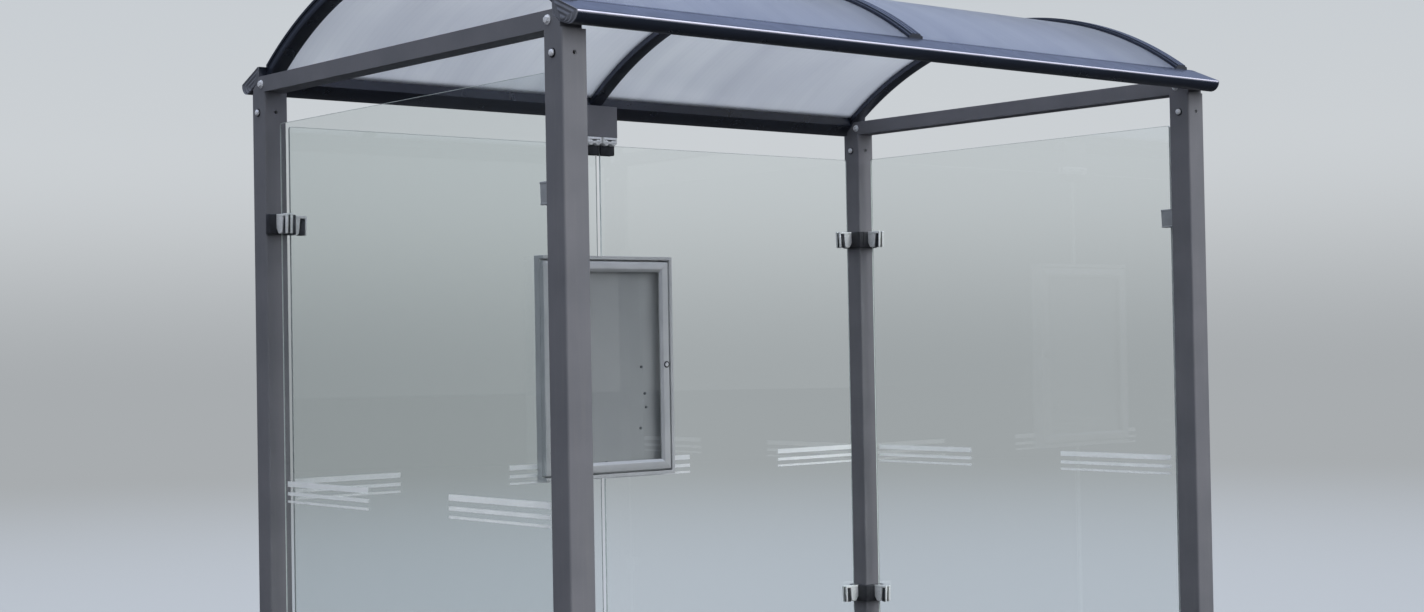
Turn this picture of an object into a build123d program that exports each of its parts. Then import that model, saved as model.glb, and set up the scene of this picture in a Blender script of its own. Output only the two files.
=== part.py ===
"""Bus shelter: four tube posts, glass on three sides, an arched clear roof and a notice case.

Millimetres. X runs along the open front, Y from the front (minus) to the back (plus), Z up.
The origin is on the ground, in the middle of the four posts.
"""
from build123d import *
from math import sqrt
import os

# Posts and feet
SPAN_X = 2560.0            # between post centres along the front
SPAN_Y = 1576.0            # between post centres from front to back
POST = 80.0                # side of the square tube
POST_WALL = 3.0
POST_CORNER = 6.0          # outer radius of the tube's corners
POST_TOP = 2310.0          # height of the posts' upper ends
FOOT = 150.0               # side of a foot plate
FOOT_T = 10.0
ANCHOR_SPACING = 115.0
ANCHOR_D = 14.0

# Head inserts and frame bolts
SLIP = 0.3                 # clearance between a piece and the one it slides into
INSERT_LEN = 100.0
INSERT_WALL = 4.0
INSERT_LID = 6.0
LUG_OUT = -5.0             # outer end of the lug, outward from the post centre
LUG_LEN = 30.0
POST_BOLT_DROP = 62.0      # bolt below the post's upper end
POST_BOLT_D = 12.0
SIGHT_HOLE_D = 12.0        # empty cross hole at the same height
TIE_BOLT_RISE = 25.0       # bolt above the post's upper end
TIE_BOLT_IN = 20.0         # bolt inward from the post centre
TIE_BOLT_D = 10.0
BOLT_HEAD_SHARE = 1.6      # head width over shank diameter
BOLT_HEAD_H = 7.0
WASHER_SHARE = 2.2
WASHER_T = 2.0

# Tie beams, from front to back over the posts
TIE_W = 70.0
TIE_H = 50.0
TIE_WALL = 3.0

# Roof arch
SHEET_R = 1350.0           # radius of the sheet's upper face
SHEET_T = 8.0
SHEET_RISE = 78.4          # sheet's upper face above the post tops, over the post centres
SHEET_REACH = 20.0         # sheet runs this far outward of the post centres, inside the eave
SHEET_JOINT = 10.0         # gap between the two sheets over the middle rib
RIB_INSET = 16.0           # end ribs stand this far inboard of the post centres
RIB_W = 50.0
RIB_H = 20.0
RIB_WALL = 2.5
COVER_W = 56.0
COVER_T = 9.0
CROWN_W = 38.0             # raised middle of the cover
CROWN_T = 5.0
WEB_SIDE_GAP = 1.0         # between the cover's web and the sheets' edges

# Eave section: distances outward from the post centres, and heights over the post tops
EAVE_BACK = 2.0            # plane of the upright inner wall
EAVE_BACK_FOOT = 36.0
EAVE_KNEE_OUT = 32.0
EAVE_KNEE_H = 14.0
EAVE_BELLY_OUT = 66.0
EAVE_BELLY_H = 4.0
EAVE_NOSE_OUT = 106.0
EAVE_NOSE_H = 36.0
EAVE_LIP = 8.0             # height of the bright front lip
EAVE_STRIP_IN = -2.0       # edge of the sloping upper strip
EAVE_STRIP_H = 83.0
EAVE_WALL = 3.0
EAVE_OVERHANG = 40.0       # eave ends beyond the post centres
CAP_T = 3.0

# Glass
GLASS_T = 8.0
GLASS_BOTTOM = 210.0
GLASS_H = 2000.0
GLASS_GAP = 27.0           # between a pane's edge and the plate above or below it
POST_GAP = 30.0            # between a pane's edge and the post beside it
GLASS_JOINT = 16.0         # upright gap between the two back panes
GLASS_CORNER = 8.0

# Clamps
CLAMP_SET = 313.0          # clamp centre in from the pane's upper or lower edge
CLAMP_TALL = 62.0
CORNER_REACH = 82.0        # jaws reach this far from a rear post's face
SHORT_REACH = 64.0         # and this far from a front post's face or from a plate
JAW_TAPER = 3.0            # a jaw's lower corner stands back by this
BASE_T = 20.0              # moulded base that covers a rear post's face
BASE_ROUND = 5.0
NECK_REACH = 24.0          # solid root of a clamp on a front post or a plate
BLOCK_REACH = 31.0         # thick block on the front jaw of a clamp on a plate
BLOCK_FRONT = 31.0         # the block's front face, inward of the glass plane
JAW_T = 8.5
PAD_T = 2.0
PAD_W = 28.0
PAD_IN = 4.0               # pad's edge in from the jaw's end
HANGER_CLAMP_OFF = 34.0    # clamp centre from the middle of the back wall

# Hanger plate and floor bracket in the middle of the back wall
PLATE_W = 136.0
PLATE_T = 5.0
PLATE_FRONT = 28.0         # plate's front face, inward of the glass plane
SHELF_BACK = 20.0          # shelf reaches this far outward of the glass plane
BRACKET_FOOT = 90.0        # depth of the floor bracket's foot
BRACKET_HOLE_D = 12.0
BRACKET_HOLE_SPACING = 90.0

# Notice case on the inside of the back wall
CASE_W = 560.0
CASE_H = 775.0
CASE_D = 55.0
CASE_MID_Z = 1428.0        # height of the case's middle
CASE_BAR = 12.0            # thickness of the case's walls
CASE_LEDGE = 6.0
CASE_BACK_T = 2.0
PANEL_T = 2.0
PANEL_SET = 10.0           # panel's rear face in front of the glass
DOOR_GAP = 7.0             # between the door and the bars around it
DOOR_T = 15.0
DOOR_FLAT = 25.0           # flat front of the door frame's bars
DOOR_BEVEL = 10.0          # width of the sloping edge inside the flat
DOOR_EDGE = 4.0            # radius of the door's rear edge beside the hinge
DOOR_LIP_T = 2.0           # frame left in front of the pane and behind it
DOOR_PANE_T = 4.0
DOOR_PANE_BITE = 4.0       # pane reaches this far into its groove
LOCK_D = 18.0
LOCK_PROUD = 3.0
LOCK_CAM = 22.0            # length of the cam below the lock's middle
LOCK_CAM_W = 12.0
LOCK_CAM_T = 1.0
LOCK_COLLAR = 6.0          # lock's front collar is wider than its body by this
HINGE_IN = 4.2             # hinge axis in from the case's left face
HINGE_CLEAR = 1.2          # between the hinge barrel and the door or wall beside it
BARREL_D = 7.2
HINGE_PIN_D = 3.0
HINGE_RUN = 0.05           # radial clearance of a moving segment on the pin
HINGE_SEGMENTS = 5
SEGMENT_GAP = 0.5
LEAF_T = 4.4
FIXING_D = 10.0
FIXING_PLATE_W = 60.0
FIXING_PLATE_H = 50.0
FIXING_PLATE_T = 4.0
FIXING_SPACING = 560.0     # between the two fixings
FIXING_HEAD_D = 22.0
FIXING_HEAD_H = 5.0

# Worked out from the sizes above
HALF_X = SPAN_X / 2
HALF_Y = SPAN_Y / 2
TIE_X = HALF_X + POST / 2 - TIE_W / 2      # flush with the posts' outer faces
RIB_X = HALF_X - RIB_INSET
ARC_Z = POST_TOP + SHEET_RISE - sqrt(SHEET_R ** 2 - HALF_Y ** 2)
SHEET_UNDER = SHEET_R - SHEET_T
RIB_UNDER = SHEET_UNDER - RIB_H
COVER_TOP = SHEET_R + COVER_T + CROWN_T
EAVE_LEN = SPAN_X + 2 * EAVE_OVERHANG
GLASS_TOP = GLASS_BOTTOM + GLASS_H
PANE_EDGE = POST / 2 + POST_GAP
ARC_WINDOW = 1.2 * SHEET_R  # tall enough to hold half a ring
CORNERS = {"front_left": (-1, -1), "front_right": (1, -1), "rear_left": (-1, 1), "rear_right": (1, 1)}


def save(shape, node):
    """Writes one node as parts/NODE.step."""
    shape.label = node
    export_step(shape, os.path.join("parts", node + ".step"))


def together(solids):
    """Holds several separate solids as one node."""
    return Compound(children=list(solids))


def box_between(low, high):
    """A box from its lowest corner to its highest."""
    size = [high[i] - low[i] for i in range(3)]
    middle = [(high[i] + low[i]) / 2 for i in range(3)]
    return Pos(*middle) * Box(*size)


def rod(start, end, diameter):
    """A round rod between two points that differ along one axis."""
    direction = Vector(*end) - Vector(*start)
    plane = Plane(origin=start, z_dir=direction)
    return extrude(plane * Circle(diameter / 2), direction.length)


def side_section(points):
    """A closed outline of (y, z) points as a face in the YZ plane."""
    return Plane.YZ * make_face(Polyline(*points, close=True))


def along_x(face, x_from, x_to):
    """Extrudes a YZ face between two X positions."""
    return Pos(x_from, 0, 0) * extrude(face, x_to - x_from, dir=(1, 0, 0))


def arc_band(r_in, r_out, y_reach):
    """YZ face between two radii about the roof's axis, cut off at y = -y_reach and +y_reach."""
    ring = Circle(r_out) - Circle(r_in)
    window = Pos(0, SHEET_R / 2) * Rectangle(2 * y_reach, ARC_WINDOW)
    return Plane.YZ * (Pos(0, ARC_Z) * (ring & window))


def eave_outline():
    """Closed line around the front eave's section, with its round lower front."""
    def at(out, height):
        return (-HALF_Y - out, POST_TOP + height)
    lip_low = EAVE_NOSE_H - EAVE_LIP
    throat_h = EAVE_STRIP_H - EAVE_WALL
    back = Polyline(
        at(EAVE_NOSE_OUT, lip_low), at(EAVE_NOSE_OUT, EAVE_NOSE_H), at(EAVE_STRIP_IN, EAVE_STRIP_H),
        at(EAVE_STRIP_IN, throat_h), at(EAVE_BACK, throat_h), at(EAVE_BACK, EAVE_BACK_FOOT),
        at(EAVE_KNEE_OUT, EAVE_KNEE_H), at(EAVE_BELLY_OUT, EAVE_BELLY_H),
    )
    belly_slope = (EAVE_BELLY_OUT - EAVE_KNEE_OUT, EAVE_BELLY_H - EAVE_KNEE_H)
    curl = TangentArc(at(EAVE_BELLY_OUT, EAVE_BELLY_H), at(EAVE_NOSE_OUT, lip_low),
                      tangent=(-belly_slope[0], belly_slope[1]))
    return make_face(back + curl)


def throat(play, end_play):
    """Slot that the roof sheet runs into: the sheet's own band, wider by the play."""
    ring = Circle(SHEET_R + play) - Circle(SHEET_UNDER - play)
    y_out = HALF_Y + SHEET_REACH + end_play
    window = Pos(-(HALF_Y + y_out) / 2 + SHEET_REACH, SHEET_R / 2) * Rectangle(
        y_out - HALF_Y + 2 * SHEET_REACH, ARC_WINDOW)
    return Pos(0, ARC_Z) * (ring & window)


def eave():
    """Front eave: hollow extrusion with an open throat for the sheet."""
    outer = eave_outline()
    chamber = offset(outer, -EAVE_WALL, kind=Kind.INTERSECTION)
    housing = throat(SLIP + EAVE_WALL, SLIP + EAVE_WALL)
    section = outer - (chamber - housing) - throat(SLIP, SLIP)
    half = EAVE_LEN / 2 - CAP_T
    return along_x(Plane.YZ * section, -half, half)


def eave_cap(side):
    """Plate that closes one end of the front eave."""
    x_out = side * EAVE_LEN / 2
    x_in = x_out - side * CAP_T
    return along_x(Plane.YZ * eave_outline(), min(x_in, x_out), max(x_in, x_out))


def to_back(shape):
    """The same piece turned half round Z, for the back."""
    return Rot(0, 0, 180) * shape


def post(sx, sy):
    """Square tube with rounded corners, a cross bolt hole and an empty sight hole."""
    outer = RectangleRounded(POST, POST, POST_CORNER)
    inner_side = POST - 2 * POST_WALL
    inner = RectangleRounded(inner_side, inner_side, POST_CORNER - POST_WALL)
    tube = extrude(outer - inner, POST_TOP - FOOT_T)
    tube = Pos(0, 0, FOOT_T) * tube
    bolt_z = POST_TOP - POST_BOLT_DROP
    tube -= rod((-POST, 0, bolt_z), (POST, 0, bolt_z), POST_BOLT_D + 2 * SLIP)
    tube -= rod((0, -POST, bolt_z), (0, POST, bolt_z), SIGHT_HOLE_D)
    return Pos(sx * HALF_X, sy * HALF_Y, 0) * tube


def foot_plate(sx, sy):
    """Square plate under a post, with four anchor holes."""
    plate = Pos(0, 0, FOOT_T / 2) * Box(FOOT, FOOT, FOOT_T)
    plate = fillet(plate.edges().filter_by(Axis.Z), POST_CORNER)
    for hx in (-1, 1):
        for hy in (-1, 1):
            x = hx * ANCHOR_SPACING / 2
            y = hy * ANCHOR_SPACING / 2
            plate -= rod((x, y, -FOOT_T), (x, y, 2 * FOOT_T), ANCHOR_D)
    return Pos(sx * HALF_X, sy * HALF_Y, 0) * plate


def lug_span():
    """X range of a lug inside both post and tie beam, inward from the post centre being positive."""
    post_inner = POST / 2 - POST_WALL - SLIP
    tie_inner = TIE_W / 2 - TIE_WALL - SLIP
    middle = HALF_X - TIE_X
    return max(middle - tie_inner, -post_inner), min(middle + tie_inner, post_inner)


def head_insert(sx, sy):
    """Closed tube in the post's head, with a lug that stands up into the tie beam."""
    side = POST - 2 * POST_WALL - 2 * SLIP
    hollow = side - 2 * INSERT_WALL
    radius = POST_CORNER - POST_WALL
    body = Pos(0, 0, POST_TOP - INSERT_LEN) * extrude(RectangleRounded(side, side, radius), INSERT_LEN)
    body -= Pos(0, 0, POST_TOP - INSERT_LEN) * extrude(Rectangle(hollow, hollow), INSERT_LEN - INSERT_LID)
    x_far, x_near = lug_span()
    y_out = LUG_OUT
    y_in = LUG_OUT - LUG_LEN
    top = POST_TOP + TIE_H - TIE_WALL - SLIP
    lug_x = sorted((-sx * x_far, -sx * x_near))
    lug_y = sorted((sy * y_out, sy * y_in))
    body += box_between((lug_x[0], lug_y[0], POST_TOP - INSERT_LID), (lug_x[1], lug_y[1], top))
    bolt_z = POST_TOP - POST_BOLT_DROP
    body -= rod((-POST, 0, bolt_z), (POST, 0, bolt_z), POST_BOLT_D + 2 * SLIP)
    body -= rod((0, -POST, bolt_z), (0, POST, bolt_z), SIGHT_HOLE_D)
    tie_z = POST_TOP + TIE_BOLT_RISE
    tie_y = -sy * TIE_BOLT_IN
    body -= rod((-POST, tie_y, tie_z), (POST, tie_y, tie_z), TIE_BOLT_D + 2 * SLIP)
    return Pos(sx * HALF_X, sy * HALF_Y, 0) * body


def tie_outline():
    """Side view of a tie beam, with both ends cut to lie against the eaves."""
    half = [
        (HALF_Y + EAVE_KNEE_OUT, POST_TOP), (HALF_Y + EAVE_KNEE_OUT, POST_TOP + EAVE_KNEE_H),
        (HALF_Y + EAVE_BACK, POST_TOP + EAVE_BACK_FOOT), (HALF_Y + EAVE_BACK, POST_TOP + TIE_H),
    ]
    other = [(-y, z) for y, z in reversed(half)]
    return make_face(Polyline(*half, *other, close=True))


def tie(sx):
    """Hollow beam from front to back, open below for the inserts' lugs."""
    outline = tie_outline()
    hollow = offset(outline, -TIE_WALL, kind=Kind.INTERSECTION)
    x = sx * TIE_X
    beam = along_x(Plane.YZ * outline, x - TIE_W / 2, x + TIE_W / 2)
    inside = TIE_W / 2 - TIE_WALL
    beam -= along_x(Plane.YZ * hollow, x - inside, x + inside)
    x_far, x_near = lug_span()
    for sy in (-1, 1):
        slot_x = sorted((sx * (HALF_X - x_far + SLIP), sx * (HALF_X - x_near - SLIP)))
        slot_x = (max(slot_x[0], x - inside), min(slot_x[1], x + inside))
        slot_y = sorted((sy * (HALF_Y + LUG_OUT + SLIP), sy * (HALF_Y + LUG_OUT - LUG_LEN - SLIP)))
        beam -= box_between((slot_x[0], slot_y[0], POST_TOP - TIE_WALL),
                            (slot_x[1], slot_y[1], POST_TOP + 2 * TIE_WALL))
        tie_z = POST_TOP + TIE_BOLT_RISE
        tie_y = sy * (HALF_Y - TIE_BOLT_IN)
        beam -= rod((x - TIE_W, tie_y, tie_z), (x + TIE_W, tie_y, tie_z), TIE_BOLT_D + 2 * SLIP)
    return beam


def cross_bolt(middle, grip, diameter):
    """Bolt along X: shank, and a washer and round head at each end of the grip."""
    x, y, z = middle
    half = grip / 2
    bolt = rod((x - half, y, z), (x + half, y, z), diameter)
    for side in (-1, 1):
        face = x + side * half
        seat = face + side * WASHER_T
        bolt += rod((face, y, z), (seat, y, z), diameter * WASHER_SHARE)
        bolt += rod((seat, y, z), (seat + side * BOLT_HEAD_H, y, z), diameter * BOLT_HEAD_SHARE)
    return bolt


def frame_bolts():
    """Bolts through the post heads and through the ends of the tie beams."""
    bolts = []
    for sx, sy in CORNERS.values():
        post_middle = (sx * HALF_X, sy * HALF_Y, POST_TOP - POST_BOLT_DROP)
        bolts.append(cross_bolt(post_middle, POST, POST_BOLT_D))
        tie_middle = (sx * TIE_X, sy * (HALF_Y - TIE_BOLT_IN), POST_TOP + TIE_BOLT_RISE)
        bolts.append(cross_bolt(tie_middle, TIE_W, TIE_BOLT_D))
    return together(bolts)


def rib(x, on_tie):
    """Arched flat tube, open at both ends; an end rib is notched to sit on its tie beam."""
    y_reach = HALF_Y + EAVE_BACK
    tube = along_x(arc_band(RIB_UNDER, SHEET_UNDER, y_reach), x - RIB_W / 2, x + RIB_W / 2)
    inside = RIB_W / 2 - RIB_WALL
    hollow = arc_band(RIB_UNDER + RIB_WALL, SHEET_UNDER - RIB_WALL, y_reach)
    tube -= along_x(hollow, x - inside, x + inside)
    if on_tie:
        tube -= box_between((x - RIB_W, -HALF_Y - EAVE_NOSE_OUT, ARC_Z),
                            (x + RIB_W, HALF_Y + EAVE_NOSE_OUT, POST_TOP + TIE_H))
    return tube


def rib_cover(x, web_x, web_w):
    """Arched cap over the sheets' edges, with a raised crown and a web that reaches the rib."""
    y_reach = HALF_Y + EAVE_STRIP_IN
    cap = along_x(arc_band(SHEET_R, SHEET_R + COVER_T, y_reach), x - COVER_W / 2, x + COVER_W / 2)
    cap += along_x(arc_band(SHEET_R + COVER_T, COVER_TOP, y_reach), x - CROWN_W / 2, x + CROWN_W / 2)
    cap += along_x(arc_band(SHEET_UNDER, SHEET_R, y_reach), web_x - web_w / 2, web_x + web_w / 2)
    return cap


def roof_sheet(x_from, x_to):
    """Clear arched sheet from eave to eave."""
    return along_x(arc_band(SHEET_UNDER, SHEET_R, HALF_Y + SHEET_REACH), x_from, x_to)


def pane(width):
    """Upright glass pane in the XZ plane, centred over its own lower edge."""
    outline = Pos(0, GLASS_BOTTOM + GLASS_H / 2) * RectangleRounded(width, GLASS_H, GLASS_CORNER)
    return Pos(0, GLASS_T / 2, 0) * extrude(Plane.XZ * outline, GLASS_T)


JAW_OUT = GLASS_T / 2 + PAD_T + JAW_T


def clamp_jaw(side, reach):
    """One jaw in the clamp's own frame: X away from the carrier, Y across the glass, Z up."""
    tall = CLAMP_TALL / 2
    outline = make_face(Polyline(
        (0, tall), (reach, tall), (reach - JAW_TAPER, -tall), (0, -tall), close=True))
    y_to = JAW_OUT if side > 0 else JAW_T - JAW_OUT
    return Pos(0, y_to, 0) * extrude(Plane.XZ * outline, JAW_T)


def post_base(y_low, y_high):
    """Moulded base on a post's face, with its two free upright edges rounded."""
    block = box_between((0, y_low, -CLAMP_TALL / 2), (BASE_T, y_high, CLAMP_TALL / 2))
    return fillet(block.edges().filter_by(Axis.Z).group_by(Axis.X)[-1], BASE_ROUND)


def neck():
    """Solid root between the jaws of a clamp without a wide base."""
    return box_between((0, -JAW_OUT, -CLAMP_TALL / 2), (NECK_REACH, JAW_OUT, CLAMP_TALL / 2))


def hanging_base():
    """Root of a clamp on a plate, with the thick block that covers its front jaw's upper half."""
    block = box_between(
        (0, -BLOCK_FRONT, -CLAMP_TALL / 2), (BLOCK_REACH, JAW_T - JAW_OUT, CLAMP_TALL / 2))
    return neck() + block


def clamp(base, reach):
    """A clamp on its base, with a jaw on each side of the glass."""
    return base + clamp_jaw(-1, reach) + clamp_jaw(1, reach)


def clamp_pads(reach):
    """Rubber pads between the jaws and the glass."""
    pads = []
    x = reach - PAD_IN - PAD_W / 2
    for side in (-1, 1):
        y = side * (GLASS_T + PAD_T) / 2
        pads.append(Pos(x, y, 0) * Box(PAD_W, PAD_T, CLAMP_TALL - 2 * PAD_IN))
    return pads


def clamp_places():
    """Each pane's clamps: its name to a list of locations, each with its base and its jaws' reach."""
    places = {"left": [], "right": [], "back_left": [], "back_right": []}
    half = POST / 2
    for z in (GLASS_TOP - CLAMP_SET, GLASS_BOTTOM + CLAMP_SET):
        for name, sx in (("left", -1), ("right", 1)):
            front = Pos(sx * HALF_X, -HALF_Y + half, z) * Rot(0, 0, 90)
            rear = Pos(sx * HALF_X, HALF_Y - half, z) * Rot(0, 0, -90)
            places[name].append((front, neck(), SHORT_REACH))
            places[name].append((rear, post_base(-half, half), CORNER_REACH))
        inner_left = Pos(-HALF_X + half, HALF_Y, z)
        inner_right = Pos(HALF_X - half, HALF_Y, z) * Rot(0, 0, 180)
        places["back_left"].append((inner_left, post_base(-half - BASE_T, half), CORNER_REACH))
        places["back_right"].append((inner_right, post_base(-half, half + BASE_T), CORNER_REACH))
    for name, sx in (("back_left", -1), ("back_right", 1)):
        x = sx * HANGER_CLAMP_OFF
        down = Pos(x, HALF_Y, GLASS_TOP + GLASS_GAP) * Rot(0, 90, 0)
        up = Pos(x, HALF_Y, GLASS_BOTTOM - GLASS_GAP) * Rot(0, -90, 0)
        places[name].append((down, hanging_base(), SHORT_REACH))
        places[name].append((up, hanging_base(), SHORT_REACH))
    return places


def hanger_plate():
    """Bent plate under the rear eave that carries the upper middle clamps."""
    slope = (EAVE_BACK_FOOT - EAVE_KNEE_H) / (EAVE_KNEE_OUT - EAVE_BACK)
    drop = PLATE_T * sqrt(1 + slope ** 2)
    shelf = GLASS_TOP + GLASS_GAP
    front = HALF_Y - PLATE_FRONT
    wall_foot = POST_TOP + EAVE_BACK_FOOT
    knee_y = HALF_Y + EAVE_KNEE_OUT
    bend_y = HALF_Y + EAVE_BACK - (drop - PLATE_T) / slope
    points = [
        (front, shelf), (front, wall_foot), (HALF_Y + EAVE_BACK, wall_foot),
        (knee_y, POST_TOP + EAVE_KNEE_H), (knee_y, POST_TOP + EAVE_KNEE_H - drop),
        (bend_y, wall_foot - PLATE_T), (front + PLATE_T, wall_foot - PLATE_T),
        (front + PLATE_T, shelf + PLATE_T), (HALF_Y + SHELF_BACK, shelf + PLATE_T),
        (HALF_Y + SHELF_BACK, shelf),
    ]
    return along_x(side_section(points), -PLATE_W / 2, PLATE_W / 2)


def floor_bracket():
    """Bent plate on the ground that carries the lower middle clamps."""
    shelf = GLASS_BOTTOM - GLASS_GAP
    front = HALF_Y - PLATE_FRONT
    foot_back = front + BRACKET_FOOT
    points = [
        (front, 0), (front, shelf), (HALF_Y + SHELF_BACK, shelf),
        (HALF_Y + SHELF_BACK, shelf - PLATE_T), (front + PLATE_T, shelf - PLATE_T),
        (front + PLATE_T, PLATE_T), (foot_back, PLATE_T), (foot_back, 0),
    ]
    bracket = along_x(side_section(points), -PLATE_W / 2, PLATE_W / 2)
    hole_y = (front + PLATE_T + foot_back) / 2
    for side in (-1, 1):
        x = side * BRACKET_HOLE_SPACING / 2
        bracket -= rod((x, hole_y, -PLATE_T), (x, hole_y, 2 * PLATE_T), BRACKET_HOLE_D)
    return bracket


CASE_REAR = HALF_Y - GLASS_T / 2
CASE_FRONT = CASE_REAR - CASE_D
DOOR_LEFT = -CASE_W / 2
DOOR_RIGHT = CASE_W / 2 - CASE_BAR - DOOR_GAP
DOOR_HALF_H = CASE_H / 2 - CASE_BAR - DOOR_GAP
DOOR_REAR = CASE_FRONT + DOOR_T
DOOR_STILE = DOOR_FLAT + DOOR_BEVEL
DOOR_PANE_FRONT = DOOR_REAR - DOOR_LIP_T - DOOR_PANE_T
HINGE_X = DOOR_LEFT + HINGE_IN
HINGE_Y = DOOR_REAR + HINGE_CLEAR + BARREL_D / 2
LEFT_WALL_FRONT = HINGE_Y + BARREL_D / 2 + HINGE_CLEAR
FIXING_ZS = (CASE_MID_Z - FIXING_SPACING / 2, CASE_MID_Z + FIXING_SPACING / 2)


def case_block(x_low, x_high, half_h, y_front, y_rear):
    """Box at the case's mid height, between two X and two Y planes."""
    return box_between((x_low, y_front, CASE_MID_Z - half_h), (x_high, y_rear, CASE_MID_Z + half_h))


def case_tray():
    """Case body: bars above, below and at the right, and a shallower left wall behind the hinge."""
    half_w = CASE_W / 2 - CASE_BAR
    half_h = CASE_H / 2 - CASE_BAR
    tray = case_block(-CASE_W / 2, CASE_W / 2, CASE_H / 2, CASE_FRONT, CASE_REAR)
    tray -= case_block(-CASE_W, half_w, half_h, CASE_FRONT - CASE_D, LEFT_WALL_FRONT)
    tray -= case_block(-half_w, half_w, half_h, CASE_FRONT, CASE_REAR - PANEL_SET)
    tray -= case_block(-half_w + CASE_LEDGE, half_w - CASE_LEDGE, half_h - CASE_LEDGE,
                       CASE_FRONT, CASE_REAR - CASE_BACK_T)
    for z in FIXING_ZS:
        tray -= rod((0, CASE_REAR - PANEL_SET, z), (0, CASE_REAR + PANEL_SET, z), FIXING_D + 2 * SLIP)
    return tray


def case_panel():
    """Light panel that notices are fixed to."""
    half_w = CASE_W / 2 - CASE_BAR - SLIP
    half_h = CASE_H / 2 - CASE_BAR - SLIP
    rear = CASE_REAR - PANEL_SET
    return case_block(-half_w, half_w, half_h, rear - PANEL_T, rear)


def case_fixings():
    """Bolts through the joint of the back panes, with a counter plate behind the glass."""
    fixings = []
    glass_rear = HALF_Y + GLASS_T / 2
    inside = CASE_REAR - CASE_BACK_T
    for z in FIXING_ZS:
        piece = box_between((-FIXING_PLATE_W / 2, glass_rear, z - FIXING_PLATE_H / 2),
                            (FIXING_PLATE_W / 2, glass_rear + FIXING_PLATE_T, z + FIXING_PLATE_H / 2))
        piece += rod((0, inside, z), (0, glass_rear + FIXING_PLATE_T, z), FIXING_D)
        piece += rod((0, inside - FIXING_HEAD_H, z), (0, inside, z), FIXING_HEAD_D)
        piece += rod((0, glass_rear, z), (0, glass_rear + FIXING_PLATE_T + FIXING_HEAD_H, z), FIXING_HEAD_D)
        fixings.append(piece)
    return together(fixings)


def hinge_spans(first):
    """Height ranges of every second hinge segment, counted from the lowest."""
    length = (2 * DOOR_HALF_H - (HINGE_SEGMENTS - 1) * SEGMENT_GAP) / HINGE_SEGMENTS
    lows = [CASE_MID_Z - DOOR_HALF_H + i * (length + SEGMENT_GAP) for i in range(first, HINGE_SEGMENTS, 2)]
    return [(low, low + length) for low in lows]


def hinge_segment(z_low, z_high, y_seat):
    """Round barrel, with the leaf that joins it to its seat on the wall or on the door."""
    barrel = rod((HINGE_X, HINGE_Y, z_low), (HINGE_X, HINGE_Y, z_high), BARREL_D)
    y_low, y_high = sorted((HINGE_Y, y_seat))
    leaf = box_between((HINGE_X - LEAF_T / 2, y_low, z_low), (HINGE_X + LEAF_T / 2, y_high, z_high))
    return barrel + leaf


def case_hinges():
    """Fixed half of the full-length hinge: the odd segments on the left wall, and the pin."""
    foot = (HINGE_X, HINGE_Y, CASE_MID_Z - DOOR_HALF_H)
    head = (HINGE_X, HINGE_Y, CASE_MID_Z + DOOR_HALF_H)
    pin = rod(foot, head, HINGE_PIN_D)
    for z_low, z_high in hinge_spans(0):
        pin += hinge_segment(z_low, z_high, LEFT_WALL_FRONT)
    return pin


def case_door_hinges():
    """Moving half of the hinge: the even segments, on the back of the door."""
    segments = []
    for z_low, z_high in hinge_spans(1):
        bore = rod((HINGE_X, HINGE_Y, z_low), (HINGE_X, HINGE_Y, z_high), HINGE_PIN_D + 2 * HINGE_RUN)
        segments.append(hinge_segment(z_low, z_high, DOOR_REAR) - bore)
    return together(segments)


def door_opening(grow, y_front, y_rear):
    """Block as wide and tall as the door's opening, and larger all round by the amount given."""
    inset = DOOR_STILE - grow
    return case_block(DOOR_LEFT + inset, DOOR_RIGHT - inset, DOOR_HALF_H - inset, y_front, y_rear)


def door_bevel():
    """Funnel that slopes the frame's inner front edges towards the pane."""
    width = DOOR_RIGHT - DOOR_LEFT - 2 * DOOR_STILE
    height = 2 * (DOOR_HALF_H - DOOR_STILE)
    middle_x = (DOOR_LEFT + DOOR_RIGHT) / 2
    faces = []
    for y, grow in ((CASE_FRONT, 2 * DOOR_BEVEL), (DOOR_PANE_FRONT - DOOR_LIP_T, 0)):
        plane = Plane(origin=(middle_x, y, CASE_MID_Z), x_dir=(1, 0, 0), z_dir=(0, 1, 0))
        faces.append(plane * Rectangle(width + grow, height + grow))
    return loft(faces)


def case_door_frame():
    """Door frame with a sloping inner edge and a groove for its pane."""
    frame = case_block(DOOR_LEFT, DOOR_RIGHT, DOOR_HALF_H, CASE_FRONT, DOOR_REAR)
    hinge_edge = frame.edges().filter_by(Axis.Z).group_by(Axis.X)[0].sort_by(Axis.Y)[-1]
    frame = fillet(hinge_edge, DOOR_EDGE)
    frame -= door_bevel()
    frame -= door_opening(0, CASE_FRONT - DOOR_T, DOOR_REAR + DOOR_T)
    frame -= door_opening(DOOR_PANE_BITE + SLIP, DOOR_PANE_FRONT, DOOR_PANE_FRONT + DOOR_PANE_T)
    lock_x, lock_z = lock_place()
    before = (lock_x, CASE_FRONT - DOOR_T, lock_z)
    behind = (lock_x, DOOR_REAR + DOOR_T, lock_z)
    frame -= rod(before, behind, LOCK_D + 2 * SLIP)
    return frame


def case_door_pane():
    """Clear pane held in the door frame's groove."""
    return door_opening(DOOR_PANE_BITE, DOOR_PANE_FRONT, DOOR_PANE_FRONT + DOOR_PANE_T)


def lock_place():
    """Middle of the lock: half way up the free stile, in the middle of its flat."""
    return DOOR_RIGHT - DOOR_FLAT / 2, CASE_MID_Z


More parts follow.
